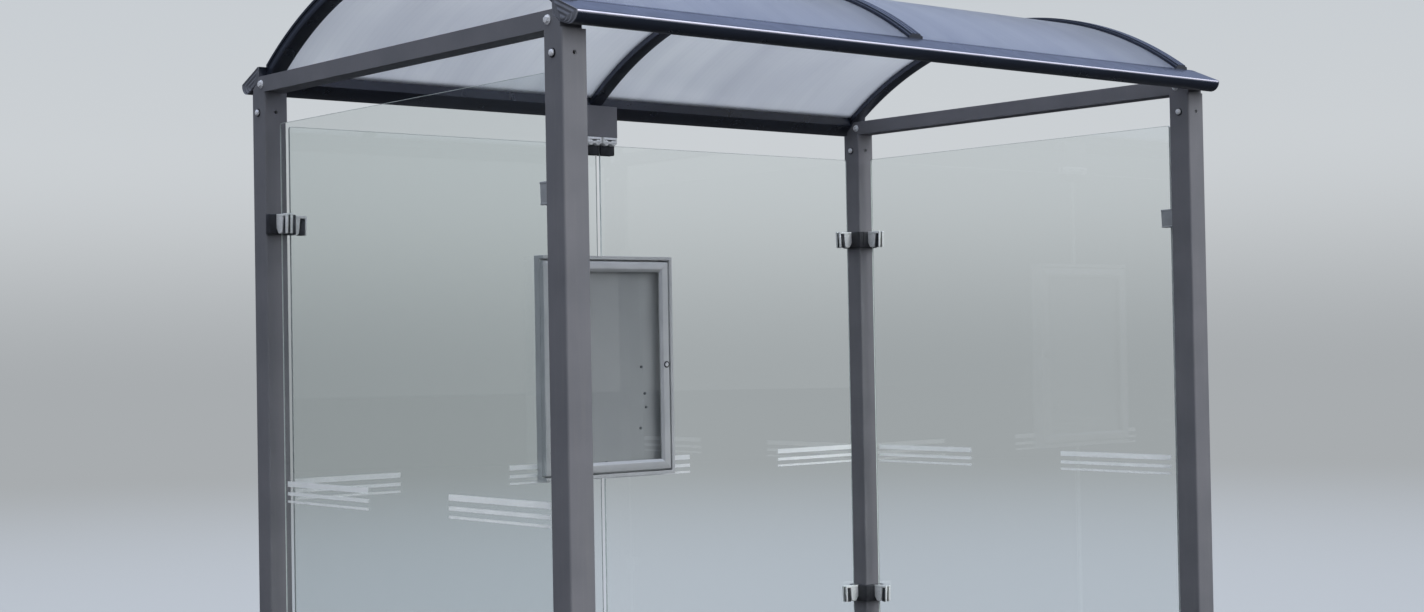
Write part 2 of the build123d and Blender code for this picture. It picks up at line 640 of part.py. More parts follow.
def case_lock():
    """Cylinder lock through the stile, with its cam behind."""
    x, z = lock_place()
    body = rod((x, CASE_FRONT, z), (x, DOOR_REAR, z), LOCK_D)
    body += rod((x, CASE_FRONT - LOCK_PROUD, z), (x, CASE_FRONT, z), LOCK_D + LOCK_COLLAR)
    cam = box_between((x - LOCK_CAM_W / 2, DOOR_REAR, z - LOCK_CAM),
                      (x + LOCK_CAM_W / 2, DOOR_REAR + LOCK_CAM_T, z + LOCK_D / 2))
    return body + cam


os.makedirs("parts", exist_ok=True)

for place, (sx, sy) in CORNERS.items():
    save(post(sx, sy), "post_" + place)
    save(foot_plate(sx, sy), "foot_plate_" + place)
save(together(head_insert(sx, sy) for sx, sy in CORNERS.values()), "head_inserts")
save(frame_bolts(), "frame_bolts")

for side, sx in (("left", -1), ("right", 1)):
    save(tie(sx), "tie_beam_" + side)

front_eave = eave()
save(front_eave, "eave_front")
save(to_back(front_eave), "eave_rear")
front_caps = [eave_cap(-1), eave_cap(1)]
save(together(front_caps + [to_back(cap) for cap in front_caps]), "eave_caps")

RIB_OUTER = RIB_W / 2
EDGE_WEB = SHEET_JOINT / 2 - WEB_SIDE_GAP
for side, sx in (("left", -1), ("middle", 0), ("right", 1)):
    x = sx * RIB_X
    save(rib(x, on_tie=sx != 0), "rib_" + side)
    if sx:
        save(rib_cover(x, x + sx * (RIB_OUTER - EDGE_WEB / 2), EDGE_WEB), "rib_cover_" + side)
    else:
        save(rib_cover(x, x, SHEET_JOINT - 2 * WEB_SIDE_GAP), "rib_cover_" + side)

sheet_outer = RIB_X + RIB_OUTER - SHEET_JOINT / 2
save(roof_sheet(-sheet_outer, -SHEET_JOINT / 2), "roof_sheet_left")
save(roof_sheet(SHEET_JOINT / 2, sheet_outer), "roof_sheet_right")

side_pane = pane(SPAN_Y - 2 * PANE_EDGE)
for side, sx in (("left", -1), ("right", 1)):
    save(Pos(sx * HALF_X, 0, 0) * (Rot(0, 0, 90) * side_pane), "glass_" + side)
back_width = HALF_X - PANE_EDGE - GLASS_JOINT / 2
for side, sx in (("left", -1), ("right", 1)):
    middle = sx * (GLASS_JOINT + back_width) / 2
    save(Pos(middle, HALF_Y, 0) * pane(back_width), "glass_back_" + side)

for name, spots in clamp_places().items():
    save(together(spot * clamp(base, reach) for spot, base, reach in spots), "clamps_" + name)
    pads = [spot * pad for spot, base, reach in spots for pad in clamp_pads(reach)]
    save(together(pads), "clamp_pads_" + name)

save(hanger_plate(), "hanger_plate")
save(floor_bracket(), "floor_bracket")

save(case_tray(), "case_tray")
save(case_panel(), "case_panel")
save(case_fixings(), "case_fixings")
save(case_hinges(), "case_hinges")
save(case_door_hinges(), "case_door_hinges")
save(case_door_frame(), "case_door_frame")
save(case_door_pane(), "case_door_pane")
save(case_lock(), "case_lock")
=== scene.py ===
"""Looks of a bus shelter: tube posts, an arched clear roof, clamped glass and a notice case."""
from math import cos, pi, radians, sin

import bmesh
import bpy
import numpy as np
from mathutils import Matrix, Vector


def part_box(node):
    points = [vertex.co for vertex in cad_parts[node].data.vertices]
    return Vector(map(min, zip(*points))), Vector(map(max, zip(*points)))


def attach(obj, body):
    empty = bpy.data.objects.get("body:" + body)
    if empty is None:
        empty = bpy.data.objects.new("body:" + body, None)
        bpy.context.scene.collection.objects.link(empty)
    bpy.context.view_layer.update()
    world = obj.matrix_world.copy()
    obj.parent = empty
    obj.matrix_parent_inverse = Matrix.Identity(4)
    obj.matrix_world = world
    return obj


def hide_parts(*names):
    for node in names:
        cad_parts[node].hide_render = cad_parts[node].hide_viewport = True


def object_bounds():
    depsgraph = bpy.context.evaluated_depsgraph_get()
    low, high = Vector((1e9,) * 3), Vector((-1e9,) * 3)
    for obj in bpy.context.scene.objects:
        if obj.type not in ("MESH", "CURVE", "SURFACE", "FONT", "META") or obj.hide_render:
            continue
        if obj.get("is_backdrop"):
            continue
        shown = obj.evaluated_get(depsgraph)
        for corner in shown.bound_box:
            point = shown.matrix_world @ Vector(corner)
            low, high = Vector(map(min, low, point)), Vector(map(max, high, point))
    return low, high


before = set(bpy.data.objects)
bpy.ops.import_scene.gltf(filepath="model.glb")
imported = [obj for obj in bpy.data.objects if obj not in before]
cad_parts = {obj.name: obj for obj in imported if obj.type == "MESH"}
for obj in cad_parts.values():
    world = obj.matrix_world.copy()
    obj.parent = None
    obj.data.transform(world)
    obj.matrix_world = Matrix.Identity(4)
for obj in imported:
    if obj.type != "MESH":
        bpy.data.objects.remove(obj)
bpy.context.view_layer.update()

# Camera
# A normal lens at eye level, in front of the shelter's left end and turned to the right,
# so that the open front, the left pane and the inside of the back wall all show.
CAMERA_PLACE = (-4.390, -5.062, 1.5006)
CAMERA_YAW = radians(39.98)
CAMERA_PITCH = radians(1.055)
CAMERA_ROLL = radians(-1.007)
CAMERA_LENS = 52.34
CAMERA_FILM = 36.0

ahead = np.array([sin(CAMERA_YAW) * cos(CAMERA_PITCH), cos(CAMERA_YAW) * cos(CAMERA_PITCH),
                  sin(CAMERA_PITCH)])
aside = np.array([cos(CAMERA_YAW), -sin(CAMERA_YAW), 0.0])
upward = np.cross(aside, ahead)
camera_x = cos(CAMERA_ROLL) * aside + sin(CAMERA_ROLL) * upward
camera_y = cos(CAMERA_ROLL) * upward - sin(CAMERA_ROLL) * aside
camera = bpy.data.objects.new("camera", bpy.data.cameras.new("camera"))
camera.data.lens = CAMERA_LENS
camera.data.sensor_width = CAMERA_FILM
camera.matrix_world = Matrix([
    [camera_x[i], camera_y[i], -ahead[i], CAMERA_PLACE[i]] for i in range(3)] + [[0, 0, 0, 1]])
bpy.context.scene.collection.objects.link(camera)
bpy.context.scene.camera = camera
bpy.context.scene.view_settings.view_transform = "Standard"

# Light and floor
# Even daylight that grows towards the zenith, two wide soft lamps over the right shoulder,
# and a pale floor that fades into the backdrop. None of it belongs to the shelter. Rays that
# come straight from the camera or through glass see the pale sky and floor, mirrored rays
# see a darker surround under a blue sky, and all other rays see the even daylight.
SKY_LOW = "#A8ACAF"
SKY_MIDDLE = "#CDD1D4"
SKY_HIGH = "#B3BFCE"
SKY_HORIZON = {"interpolation_type": "SMOOTHSTEP", "From Min": -0.02, "From Max": 0.1}
SKY_CLIMB = {"From Min": 0.05, "From Max": 0.7}
SKY_LIGHT = "#E3E9F5"
SKY_STRENGTH = {"From Max": 0.8, "To Min": 0.7, "To Max": 1.65}
MIRROR_DARK = "#40444C"
MIRROR_FRONT = "#D9DBDD"
MIRROR_HIGH = "#A2B2DC"
MIRROR_SIDE = (0.97, -0.24, 0.0)
MIRROR_SPAN = {"From Min": 0.5, "From Max": 1.0, "To Max": 0.6}
MIRROR_CLIMB = {"From Min": 0.12, "From Max": 0.5}
SUN_STRENGTH = 1.0
SUN_SPREAD = 26
SUN_FROM = (0.5, -1.0, 1.1)
FILL_STRENGTH = 1.4
FILL_SPREAD = 60
FILL_FROM = (0.45, -1.0, 0.24)
FLOOR_PALE = "#A1A4A6"
FLOOR_SHADE = "#4C4C4E"
FLOOR_MIRRORED = "#2E2F32"
FLOOR_RADIUS = 60.0
FLOOR_FADE = {"interpolation_type": "SMOOTHSTEP", "From Min": 4.0, "From Max": 20.0}
FLOOR_SIDES = 96


def colour(code):
    """Linear red, green, blue and alpha of an sRGB hex: each channel c becomes
    ((c + 0.055) / 1.055) ^ 2.4, or c / 12.92 below 0.04045."""
    c = np.array([int(code[i:i + 2], 16) for i in (1, 3, 5)]) / 255
    return (*np.where(c <= 0.04045, c / 12.92, ((c + 0.055) / 1.055) ** 2.4), 1.0)


def add(tree, kind, values=None, links=None):
    """Adds one node: values sets its properties and sockets, and links joins its sockets to
    the outputs of other nodes."""
    made = tree.nodes.new(kind)
    for key, value in (values or {}).items():
        if isinstance(key, str) and key.islower():
            setattr(made, key, value)
        else:
            made.inputs[key].default_value = value
    for key, source in (links or {}).items():
        tree.links.new(source, made.inputs[key])
    return made


def blank_tree(owner):
    """The owner's node tree, emptied."""
    owner.use_nodes = True
    owner.node_tree.nodes.clear()
    return owner.node_tree


world = bpy.data.worlds.new("pale_sky")
bpy.context.scene.world = world
tree = blank_tree(world)
direction = add(tree, "ShaderNodeTexCoord").outputs["Generated"]
height = add(tree, "ShaderNodeSeparateXYZ", links={"Vector": direction}).outputs["Z"]
rise = add(tree, "ShaderNodeMapRange", SKY_HORIZON, {"Value": height}).outputs["Result"]
lower = add(tree, "ShaderNodeMix", {"data_type": "RGBA", 6: colour(SKY_LOW), 7: colour(SKY_MIDDLE)},
            {0: rise})
climb = add(tree, "ShaderNodeMapRange", SKY_CLIMB, {"Value": height}).outputs["Result"]
seen_sky = add(tree, "ShaderNodeMix", {"data_type": "RGBA", 7: colour(SKY_HIGH)},
               {0: climb, 6: lower.outputs[2]})
facing = add(tree, "ShaderNodeVectorMath", {"operation": "DOT_PRODUCT", 1: MIRROR_SIDE},
             {0: direction}).outputs["Value"]
front = add(tree, "ShaderNodeMapRange", MIRROR_SPAN, {"Value": facing})
eye_level = add(tree, "ShaderNodeMix",
                {"data_type": "RGBA", 6: colour(MIRROR_DARK), 7: colour(MIRROR_FRONT)},
                {0: front.outputs["Result"]})
overhead = add(tree, "ShaderNodeMapRange", MIRROR_CLIMB, {"Value": height}).outputs["Result"]
mirror = add(tree, "ShaderNodeMix", {"data_type": "RGBA", 7: colour(MIRROR_HIGH)},
             {0: overhead, 6: eye_level.outputs[2]})
path = add(tree, "ShaderNodeLightPath").outputs
mirrored = add(tree, "ShaderNodeMath", {"operation": "MINIMUM", 1: 1.0}, {0: path["Glossy Depth"]})
shown = add(tree, "ShaderNodeMix", {"data_type": "RGBA"},
            {0: mirrored.outputs[0], 6: seen_sky.outputs[2], 7: mirror.outputs[2]})
through = add(tree, "ShaderNodeMath", {"operation": "MAXIMUM"},
              {0: path["Is Glossy Ray"], 1: path["Is Transmission Ray"]})
direct = add(tree, "ShaderNodeMath", {"operation": "MAXIMUM"},
             {0: through.outputs[0], 1: path["Is Camera Ray"]})
seen = add(tree, "ShaderNodeMath", {"operation": "SUBTRACT", "use_clamp": True},
           {0: direct.outputs[0], 1: path["Diffuse Depth"]})
glow = add(tree, "ShaderNodeMapRange", SKY_STRENGTH, {"Value": height}).outputs["Result"]
lighting = add(tree, "ShaderNodeBackground", {"Color": colour(SKY_LIGHT)}, {"Strength": glow})
backdrop = add(tree, "ShaderNodeBackground", {"Strength": 1.0}, {"Color": shown.outputs[2]})
both = add(tree, "ShaderNodeMixShader",
           links={0: seen.outputs[0], 1: lighting.outputs[0], 2: backdrop.outputs[0]})
add(tree, "ShaderNodeOutputWorld", links={"Surface": both.outputs[0]})


def sun(name, strength, spread, origin, shows):
    """A far lamp that shines from the direction given. Its disc is as wide as the spread in
    degrees, and shows in mirrors or doesn't."""
    lamp = bpy.data.objects.new(name, bpy.data.lights.new(name, "SUN"))
    lamp.data.energy = strength
    lamp.data.angle = radians(spread)
    lamp.rotation_mode = "QUATERNION"
    lamp.rotation_quaternion = Vector(origin).to_track_quat("Z", "Y")
    lamp.visible_glossy = shows
    lamp.visible_transmission = shows
    bpy.context.scene.collection.objects.link(lamp)


sun("key_light", SUN_STRENGTH, SUN_SPREAD, SUN_FROM, True)
sun("fill_light", FILL_STRENGTH, FILL_SPREAD, FILL_FROM, False)

floor_material = bpy.data.materials.new("pale_floor")
tree = blank_tree(floor_material)
spot = add(tree, "ShaderNodeTexCoord").outputs["Object"]
reach = add(tree, "ShaderNodeVectorMath", {"operation": "LENGTH"}, {0: spot}).outputs["Value"]
fade = add(tree, "ShaderNodeMapRange", FLOOR_FADE, {"Value": reach}).outputs["Result"]
path = add(tree, "ShaderNodeLightPath").outputs
direct = add(tree, "ShaderNodeMath", {"operation": "MAXIMUM"},
             {0: path["Is Camera Ray"], 1: path["Is Transmission Ray"]})
bounces = add(tree, "ShaderNodeMath", {"operation": "ADD"},
              {0: path["Glossy Depth"], 1: path["Diffuse Depth"]})
seen = add(tree, "ShaderNodeMath", {"operation": "SUBTRACT", "use_clamp": True},
           {0: direct.outputs[0], 1: bounces.outputs[0]})
mirrored = add(tree, "ShaderNodeMath", {"operation": "MINIMUM", 1: 1.0}, {0: path["Glossy Depth"]})
shade = add(tree, "ShaderNodeMix",
            {"data_type": "RGBA", 6: colour(FLOOR_SHADE), 7: colour(FLOOR_MIRRORED)},
            {0: mirrored.outputs[0]})
tone = add(tree, "ShaderNodeMix", {"data_type": "RGBA", 7: colour(FLOOR_PALE)},
           {0: seen.outputs[0], 6: shade.outputs[2]})
matt = add(tree, "ShaderNodeBsdfDiffuse", links={"Color": tone.outputs[2]})
far = add(tree, "ShaderNodeEmission", {"Color": colour(SKY_LOW), "Strength": 1.0})
share = add(tree, "ShaderNodeMath", {"operation": "MULTIPLY"}, {0: fade, 1: seen.outputs[0]})
both = add(tree, "ShaderNodeMixShader",
           links={0: share.outputs[0], 1: matt.outputs[0], 2: far.outputs[0]})
add(tree, "ShaderNodeOutputMaterial", links={"Surface": both.outputs[0]})
rim = np.linspace(0, 2 * pi, FLOOR_SIDES, endpoint=False)
disc = np.column_stack([FLOOR_RADIUS * np.cos(rim), FLOOR_RADIUS * np.sin(rim), 0 * rim])
floor_mesh = bpy.data.meshes.new("floor")
floor_mesh.from_pydata(disc, [], [range(FLOOR_SIDES)])
floor_mesh.materials.append(floor_material)
floor = bpy.data.objects.new("floor", floor_mesh)
bpy.context.scene.collection.objects.link(floor)
floor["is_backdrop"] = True

# Posts
# Four square steel tubes with rounded corners, powder coated dark grey in an oven. The coat is
# satin with a faint orange peel, and rain has left slight upright streaks of dust on it.
MM = 0.001
POST_GREY = "#707074"
POST_GREY_DARK = "#66676B"
POST_DUST = "#85847F"
STREAK_WIDTH = 11
STREAK_SHARE = 0.14
PEEL = 3.0
PEEL_DEPTH = 0.03
FINER = 3.7
NOISE_MIDDLE = {"From Min": 0.3, "From Max": 0.7}
CREASE = 32
CORNERS = {"front_left": (-1, -1), "front_right": (1, -1),
           "rear_left": (-1, 1), "rear_right": (1, 1)}


def surface(name, light, dark, patch, rough, grain=0, depth=0, **sockets):
    """A material whose colour clouds between two hexes in patches of that many millimetres,
    whose roughness clouds between two values in finer patches, and whose bump has a grain of
    that size and depth in millimetres. Returns its parts by name."""
    material = bpy.data.materials.new(name)
    tree = blank_tree(material)
    place = add(tree, "ShaderNodeTexCoord").outputs["Object"]
    cloud = add(tree, "ShaderNodeTexNoise", {"Scale": 1000 / patch, "Detail": 4.0},
                {"Vector": place}).outputs[0]
    spread = add(tree, "ShaderNodeMapRange", NOISE_MIDDLE, {"Value": cloud}).outputs[0]
    shade = add(tree, "ShaderNodeMix", {"data_type": "RGBA", 6: colour(light), 7: colour(dark)},
                {0: spread})
    fine = add(tree, "ShaderNodeTexNoise", {"Scale": FINER * 1000 / patch, "Detail": 3.0},
               {"Vector": place}).outputs[0]
    gloss = add(tree, "ShaderNodeMapRange",
                {**NOISE_MIDDLE, "To Min": rough[0], "To Max": rough[1]}, {"Value": fine})
    shader = add(tree, "ShaderNodeBsdfPrincipled", sockets,
                 {"Base Color": shade.outputs[2], "Roughness": gloss.outputs[0]})
    if grain:
        bumps = add(tree, "ShaderNodeTexNoise", {"Scale": 1000 / grain, "Detail": 2.0},
                    {"Vector": place}).outputs[0]
        relief = add(tree, "ShaderNodeBump", {"Distance": depth * MM, "Strength": 1.0},
                     {"Height": bumps})
        tree.links.new(relief.outputs[0], shader.inputs["Normal"])
    add(tree, "ShaderNodeOutputMaterial", links={"Surface": shader.outputs[0]})
    return {"material": material, "tree": tree, "place": place, "shade": shade.outputs[2],
            "shader": shader}


def streaked(parts, dust, width, amount):
    """Lays dust over a surface's colour in upright streaks: noise that is twenty times as
    tall as it is wide."""
    tree = parts["tree"]
    squeezed = add(tree, "ShaderNodeMapping", {"Scale": (1000 / width, 1000 / width, 50 / width)},
                   {"Vector": parts["place"]})
    runs = add(tree, "ShaderNodeTexNoise", {"Scale": 1.0, "Detail": 4.0},
               {"Vector": squeezed.outputs[0]}).outputs[0]
    share = add(tree, "ShaderNodeMapRange", {"From Min": 0.5, "From Max": 0.8, "To Max": amount},
                {"Value": runs}).outputs[0]
    dusty = add(tree, "ShaderNodeMix", {"data_type": "RGBA", 7: colour(dust)},
                {0: share, 6: parts["shade"]})
    tree.links.new(dusty.outputs[2], parts["shader"].inputs["Base Color"])
    return parts["material"]


def dressed(node, name, edge, material, body="shelter"):
    """Stands for a CAD node: its triangles merged, its flats made whole and its sharp edges
    rounded by that many millimetres."""
    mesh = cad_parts[node].data.copy()
    shell = bmesh.new()
    shell.from_mesh(mesh)
    bmesh.ops.remove_doubles(shell, verts=shell.verts, dist=0.01 * MM)
    bmesh.ops.dissolve_limit(shell, angle_limit=radians(1), verts=shell.verts, edges=shell.edges)
    shell.to_mesh(mesh)
    shell.free()
    mesh.materials.clear()
    mesh.materials.append(material)
    mesh.shade_smooth()
    mesh.set_sharp_from_angle(angle=radians(CREASE))
    made = bpy.data.objects.new(name, mesh)
    bpy.context.scene.collection.objects.link(made)
    if edge:
        bevel = made.modifiers.new("rounded_edges", "BEVEL")
        bevel.width = edge * MM
        bevel.segments = 2
        bevel.limit_method = "ANGLE"
        bevel.angle_limit = radians(CREASE)
        bevel.harden_normals = True
    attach(made, body)
    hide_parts(node)
    return made


powder_coat = surface("satin_powder_coat", POST_GREY, POST_GREY_DARK, 160, (0.34, 0.46),
                      PEEL, PEEL_DEPTH)["material"]
coat = surface("rain_streaked_powder_coat", POST_GREY, POST_GREY_DARK, 160, (0.32, 0.46),
               PEEL, PEEL_DEPTH)
rain_streaked = streaked(coat, POST_DUST, STREAK_WIDTH, STREAK_SHARE)
for place in CORNERS:
    dressed("post_" + place, place + "_post", 0, rain_streaked)

# Feet
# Steel plates welded under the posts, with four holes for ground anchors. The weld is a
# rippled fillet all round the tube, painted with the post.
PLATE_EDGE = 1.0
WELD_LEG = 5.0
WELD_RIPPLE = 0.35
WELD_PITCH = 3.2
POST_CORNER = 6.0


def rounded(corners, radius, steps=4):
    """Outline with an arc at each corner: its centre is radius / sin(half angle) along the
    corner's bisector, and its points turn evenly from one touching direction to the other."""
    p = np.asarray(corners, float)
    r = np.broadcast_to(np.asarray(radius, float), len(p))[:, None]
    back = np.roll(p, 1, 0) - p
    on = np.roll(p, -1, 0) - p
    back /= np.linalg.norm(back, axis=1, keepdims=True)
    on /= np.linalg.norm(on, axis=1, keepdims=True)
    bisector = (back + on) / np.linalg.norm(back + on, axis=1, keepdims=True)
    half = np.arccos(np.clip((back * on).sum(1), -1, 1))[:, None] / 2
    centre = p + bisector * r / np.sin(half)
    first = p + back * r / np.tan(half) - centre
    last = p + on * r / np.tan(half) - centre
    turn = (pi - 2 * half)[:, None]
    t = np.linspace(0, 1, steps + 1)[None, :, None]
    arc = np.sin((1 - t) * turn) * first[:, None] + np.sin(t * turn) * last[:, None]
    return (centre[:, None] + arc / np.sin(turn)).reshape(-1, 2)


def rectangle(width, height, x=0.0, y=0.0):
    """Corners of a rectangle about (x, y), counter-clockwise."""
    return np.array([[-1, -1], [1, -1], [1, 1], [-1, 1]]) * [width / 2, height / 2] + [x, y]


def skin(rings, closed=False):
    """Points and faces of the surface through rings of equally many points: a quad between
    each two neighbours on two rings. The first and last ring are joined if closed, and
    otherwise each gets an end face."""
    m, n = rings.shape[:2]
    i = np.arange(m if closed else m - 1)[:, None]
    j = np.arange(n)[None, :]
    after, on = (i + 1) % m, (j + 1) % n
    quads = np.stack([i * n + j, i * n + on, after * n + on, after * n + j], axis=-1)
    faces = quads.reshape(-1, 4).tolist()
    if not closed:
        faces += [list(range(n))[::-1], list(range((m - 1) * n, m * n))]
    return rings.reshape(-1, 3), faces


def piece(name, solids, material, body="shelter", replaces=(), sharp=CREASE):
    """One object from solids, each its points in millimetres, its faces and, where there are
    several materials, the number of its own. Faces point outwards, and edges sharper than the
    angle in degrees stay crisp."""
    points, faces, kinds, count = [], [], [], 0
    for solid in solids:
        points.append(solid[0])
        faces += [[count + k for k in face] for face in solid[1]]
        kinds += [solid[2] if len(solid) > 2 else 0] * len(solid[1])
        count += len(solid[0])
    mesh = bpy.data.meshes.new(name)
    mesh.from_pydata(np.concatenate(points) * MM, [], faces)
    for one in material if isinstance(material, list) else [material]:
        mesh.materials.append(one)
    mesh.polygons.foreach_set("material_index", kinds)
    shell = bmesh.new()
    shell.from_mesh(mesh)
    bmesh.ops.recalc_face_normals(shell, faces=shell.faces)
    shell.to_mesh(mesh)
    shell.free()
    mesh.shade_smooth()
    mesh.set_sharp_from_angle(angle=radians(sharp))
    made = bpy.data.objects.new(name, mesh)
    bpy.context.scene.collection.objects.link(made)
    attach(made, body)
    if replaces:
        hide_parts(*replaces)
    return made


def post_middle(place):
    """X and Y of a post's axis in millimetres, from its CAD box."""
    low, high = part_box("post_" + place)
    return (low.x + high.x) / 2 / MM, (low.y + high.y) / 2 / MM


def weld(place):
    """Weld bead: a quarter-round section carried round the tube's outline, its leg swelling
    by |sin| once a ripple."""
    low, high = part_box("post_" + place)
    side = (high.x - low.x) / MM
    outline = rounded(rectangle(side, side), POST_CORNER, 5)
    edges = np.roll(outline, -1, 0) - outline
    lengths = np.linalg.norm(edges, axis=1)
    travel = np.concatenate([[0], np.cumsum(lengths)])
    s = np.arange(0, travel[-1], WELD_PITCH / 4)
    round_trip = np.concatenate([outline, outline[:1]])
    path = np.column_stack([np.interp(s, travel, round_trip[:, k]) for k in (0, 1)])
    tangent = np.roll(path, -1, 0) - np.roll(path, 1, 0)
    tangent = tangent / np.linalg.norm(tangent, axis=1, keepdims=True)
    outward = np.column_stack([tangent[:, 1], -tangent[:, 0]])
    leg = WELD_LEG + WELD_RIPPLE * np.abs(np.sin(pi * s / WELD_PITCH))
    bend = np.array([[0.0, -0.1], [1.0, -0.1], [0.72, 0.4], [0.4, 0.72], [-0.1, 1.0], [-0.1, 0.0]])
    x, y = post_middle(place)
    flat = path[:, None] + outward[:, None] * (bend[None, :, :1] * leg[:, None, None]) + [x, y]
    rise = low.z / MM + bend[None, :, 1] * leg[:, None]
    return skin(np.concatenate([flat, rise[..., None]], axis=-1), closed=True)


for place in CORNERS:
    dressed("foot_plate_" + place, place + "_foot", PLATE_EDGE, powder_coat)
piece("foot_welds", [weld(place) for place in CORNERS], powder_coat, sharp=60)

# Side beams
# Welded rectangular tubes from front to back over the posts, cut to lie against the eaves,
# with the posts' zinc-plated inserts inside their ends. The zinc is pale and faintly mottled.
BEAM_EDGE = 1.2
ZINC = "#F6F6F6"
ZINC_DARK = "#E4E6E8"


def kept(node, material):
    """Gives a material to a CAD node that stays as it is."""
    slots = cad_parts[node].data.materials
    slots.clear()
    slots.append(material)


zinc = surface("bright_zinc_plate", ZINC, ZINC_DARK, 18, (0.22, 0.38), 1.2, 0.01,
               Metallic=0.3)["material"]
for side in ("left", "right"):
    dressed("tie_beam_" + side, side + "_side_beam", BEAM_EDGE, powder_coat)
kept("head_inserts", zinc)

# Frame bolts
# Zinc-plated button heads on black sealing washers through the post heads, the washers' black
# ring standing in as painted shadow round each head, and hexagon heads on plain washers through
# the beams' ends, one at each end of every bolt. A solid names its material by the material's
# place in its piece's list.
BRIGHT, BLACK, HOLE = 0, 1, 2
BOLT_DROP = 62.0
BEAM_BOLT_RISE = 25.0
BEAM_BOLT_IN = 20.0
# Rubber's own colours; on the post bolts' washers they also serve as painted shadow round the
# heads.
RUBBER = "#17181A"
RUBBER_DUSTY = "#26272A"
# Painted shade: hexagon sockets and the key slot are dark solids standing in for their recesses.
SOCKET_SHADE = "#0D0E10"


def stack(outlines, heights):
    """Solid through outlines of equally many points, each at its own height above the XY plane."""
    return skin(np.array([np.insert(o, 2, float(h), axis=1) for o, h in zip(outlines, heights)]))


def ring(radius, hexagon=0.0, sides=36):
    """Outline at r(a) = radius, blended towards a hexagon of that half width: radius / cos(a
    from the nearest flat)."""
    a = np.linspace(0, 2 * pi, sides, endpoint=False)
    flat = np.abs((a + pi / 6) % (pi / 3) - pi / 6)
    r = radius * (1 + hexagon * (1 / np.cos(flat) - 1))
    return np.column_stack([r * np.cos(a), r * np.sin(a)])


def turned(profile, hexagon=0.0, sides=36):
    """Round or hexagonal piece through (radius, height) pairs."""
    return stack([ring(r, hexagon, sides) for r, _ in profile], [h for _, h in profile])


def placed(solid, origin, x_axis, z_axis):
    """A solid moved from its own axes to the shelter's: its x and z point along the axes given."""
    z = np.array(z_axis, float)
    x = np.array(x_axis, float)
    return (solid[0] @ np.array([x, np.cross(z, x), z]) + np.array(origin), *solid[1:])


def button_head(radius, height):
    """Domed head whose radius falls with cos(a)^0.6 while its height climbs with sin(a)."""
    a = np.linspace(0, 0.42 * pi, 6)
    dome = [(radius * cos(t) ** 0.6, height * (0.25 + 0.75 * sin(t))) for t in a]
    return turned([(radius * 0.96, 0), (radius, 0.1 * height), *dome])


def socket(radius, top):
    """Painted shade of a hexagon socket: a dark hexagon a hair proud of a head's flat top."""
    return turned([(radius, top - 1.0), (radius, top + 0.05), (radius * 0.9, top + 0.06)],
                  hexagon=1.0)


rubber_and_painted_shadow = surface("black_rubber", RUBBER, RUBBER_DUSTY, 12, (0.55, 0.75), 1.5, 0.04)["material"]
painted_socket_shade = surface("painted_socket_shade", SOCKET_SHADE, RUBBER, 6, (0.6, 0.8))["material"]
# Painted shadow: this black washer ring stands for the shadow round each button head.
shadow_ring_washer = turned([(12.2, 0), (12.8, 0.6), (12.3, 1.8), (11, 2.4), (8, 2.5)])
points, faces = button_head(9.6, 7.2)
on_post = [(shadow_ring_washer, BLACK), ((points + [0, 0, 2.3], faces), BRIGHT), (socket(3.0, 9.2), HOLE)]
washer = turned([(12.8, 0), (13.2, 0.3), (13, 1.7), (12.4, 2)])
head = turned([(8.1, 2), (8.5, 2.4), (8.5, 7.6), (7.6, 8.6), (6.2, 8.9)], hexagon=1.0)
on_beam = [(washer, BRIGHT), (head, BRIGHT)]
bolts = []
for place, (sx, sy) in CORNERS.items():
    post, beam = "post_" + place, "tie_beam_" + ("left" if sx < 0 else "right")
    y, top = post_middle(place)[1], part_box(post)[1].z / MM
    for node, end, spot in ((post, on_post, (y, top - BOLT_DROP)),
                            (beam, on_beam, (y - sy * BEAM_BOLT_IN, top + BEAM_BOLT_RISE))):
        for corner, out in zip(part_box(node), (-1, 1)):
            bolts += [(*placed(solid, (corner.x / MM, *spot), (0, 1, 0), (out, 0, 0)), kind)
                      for solid, kind in end]
piece("frame_bolt_heads", bolts, [zinc, rubber_and_painted_shadow, painted_socket_shade],
      replaces=["frame_bolts"])

# Eaves
# Extruded aluminium gutter profiles along the front and the back, lacquered a dark blue-grey,
# with a sloping top strip, a round bead along the lip painted near white as a painted
# highlight, and a round belly. Their ends are closed by moulded caps with ridges that follow
# the profile and run together at its knee.
EAVE_BLUE = "#202632"
EAVE_BLUE_DARK = "#1B202A"
CLEAR_COAT = {"Specular IOR Level": 0.6, "Coat Weight": 0.5, "Coat Roughness": 0.18}
NOSE_OUT, NOSE_RISE, LIP = 106.0, 36.0, 8.0
STRIP_RISE, STRIP_IN = 83.0, -2.0
BACK_OUT, BACK_FOOT = 2.0, 36.0
KNEE_OUT, KNEE_RISE = 32.0, 14.0
BELLY_OUT, BELLY_RISE = 66.0, 4.0
CAP = 3.0
LIP_BEAD = 3.4
SEAM = 1.2
# Painted highlight: the lip's bead is coloured near white for the light that the lip catches.
LIP_HIGHLIGHT = "#F0EEF6"
LIP_HIGHLIGHT_DULL = "#E0DDEA"
CAP_EYE = (40.0, 19.0)
CAP_PITCH = 0.3
CAP_GREY = "#6C6E74"
CAP_GREY_DARK = "#606268"
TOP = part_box("post_front_left")[1].z / MM
HALF_Y = post_middle("rear_left")[1]
HALF_X = post_middle("rear_right")[0]
EAVE_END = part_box("eave_caps")[1].x / MM


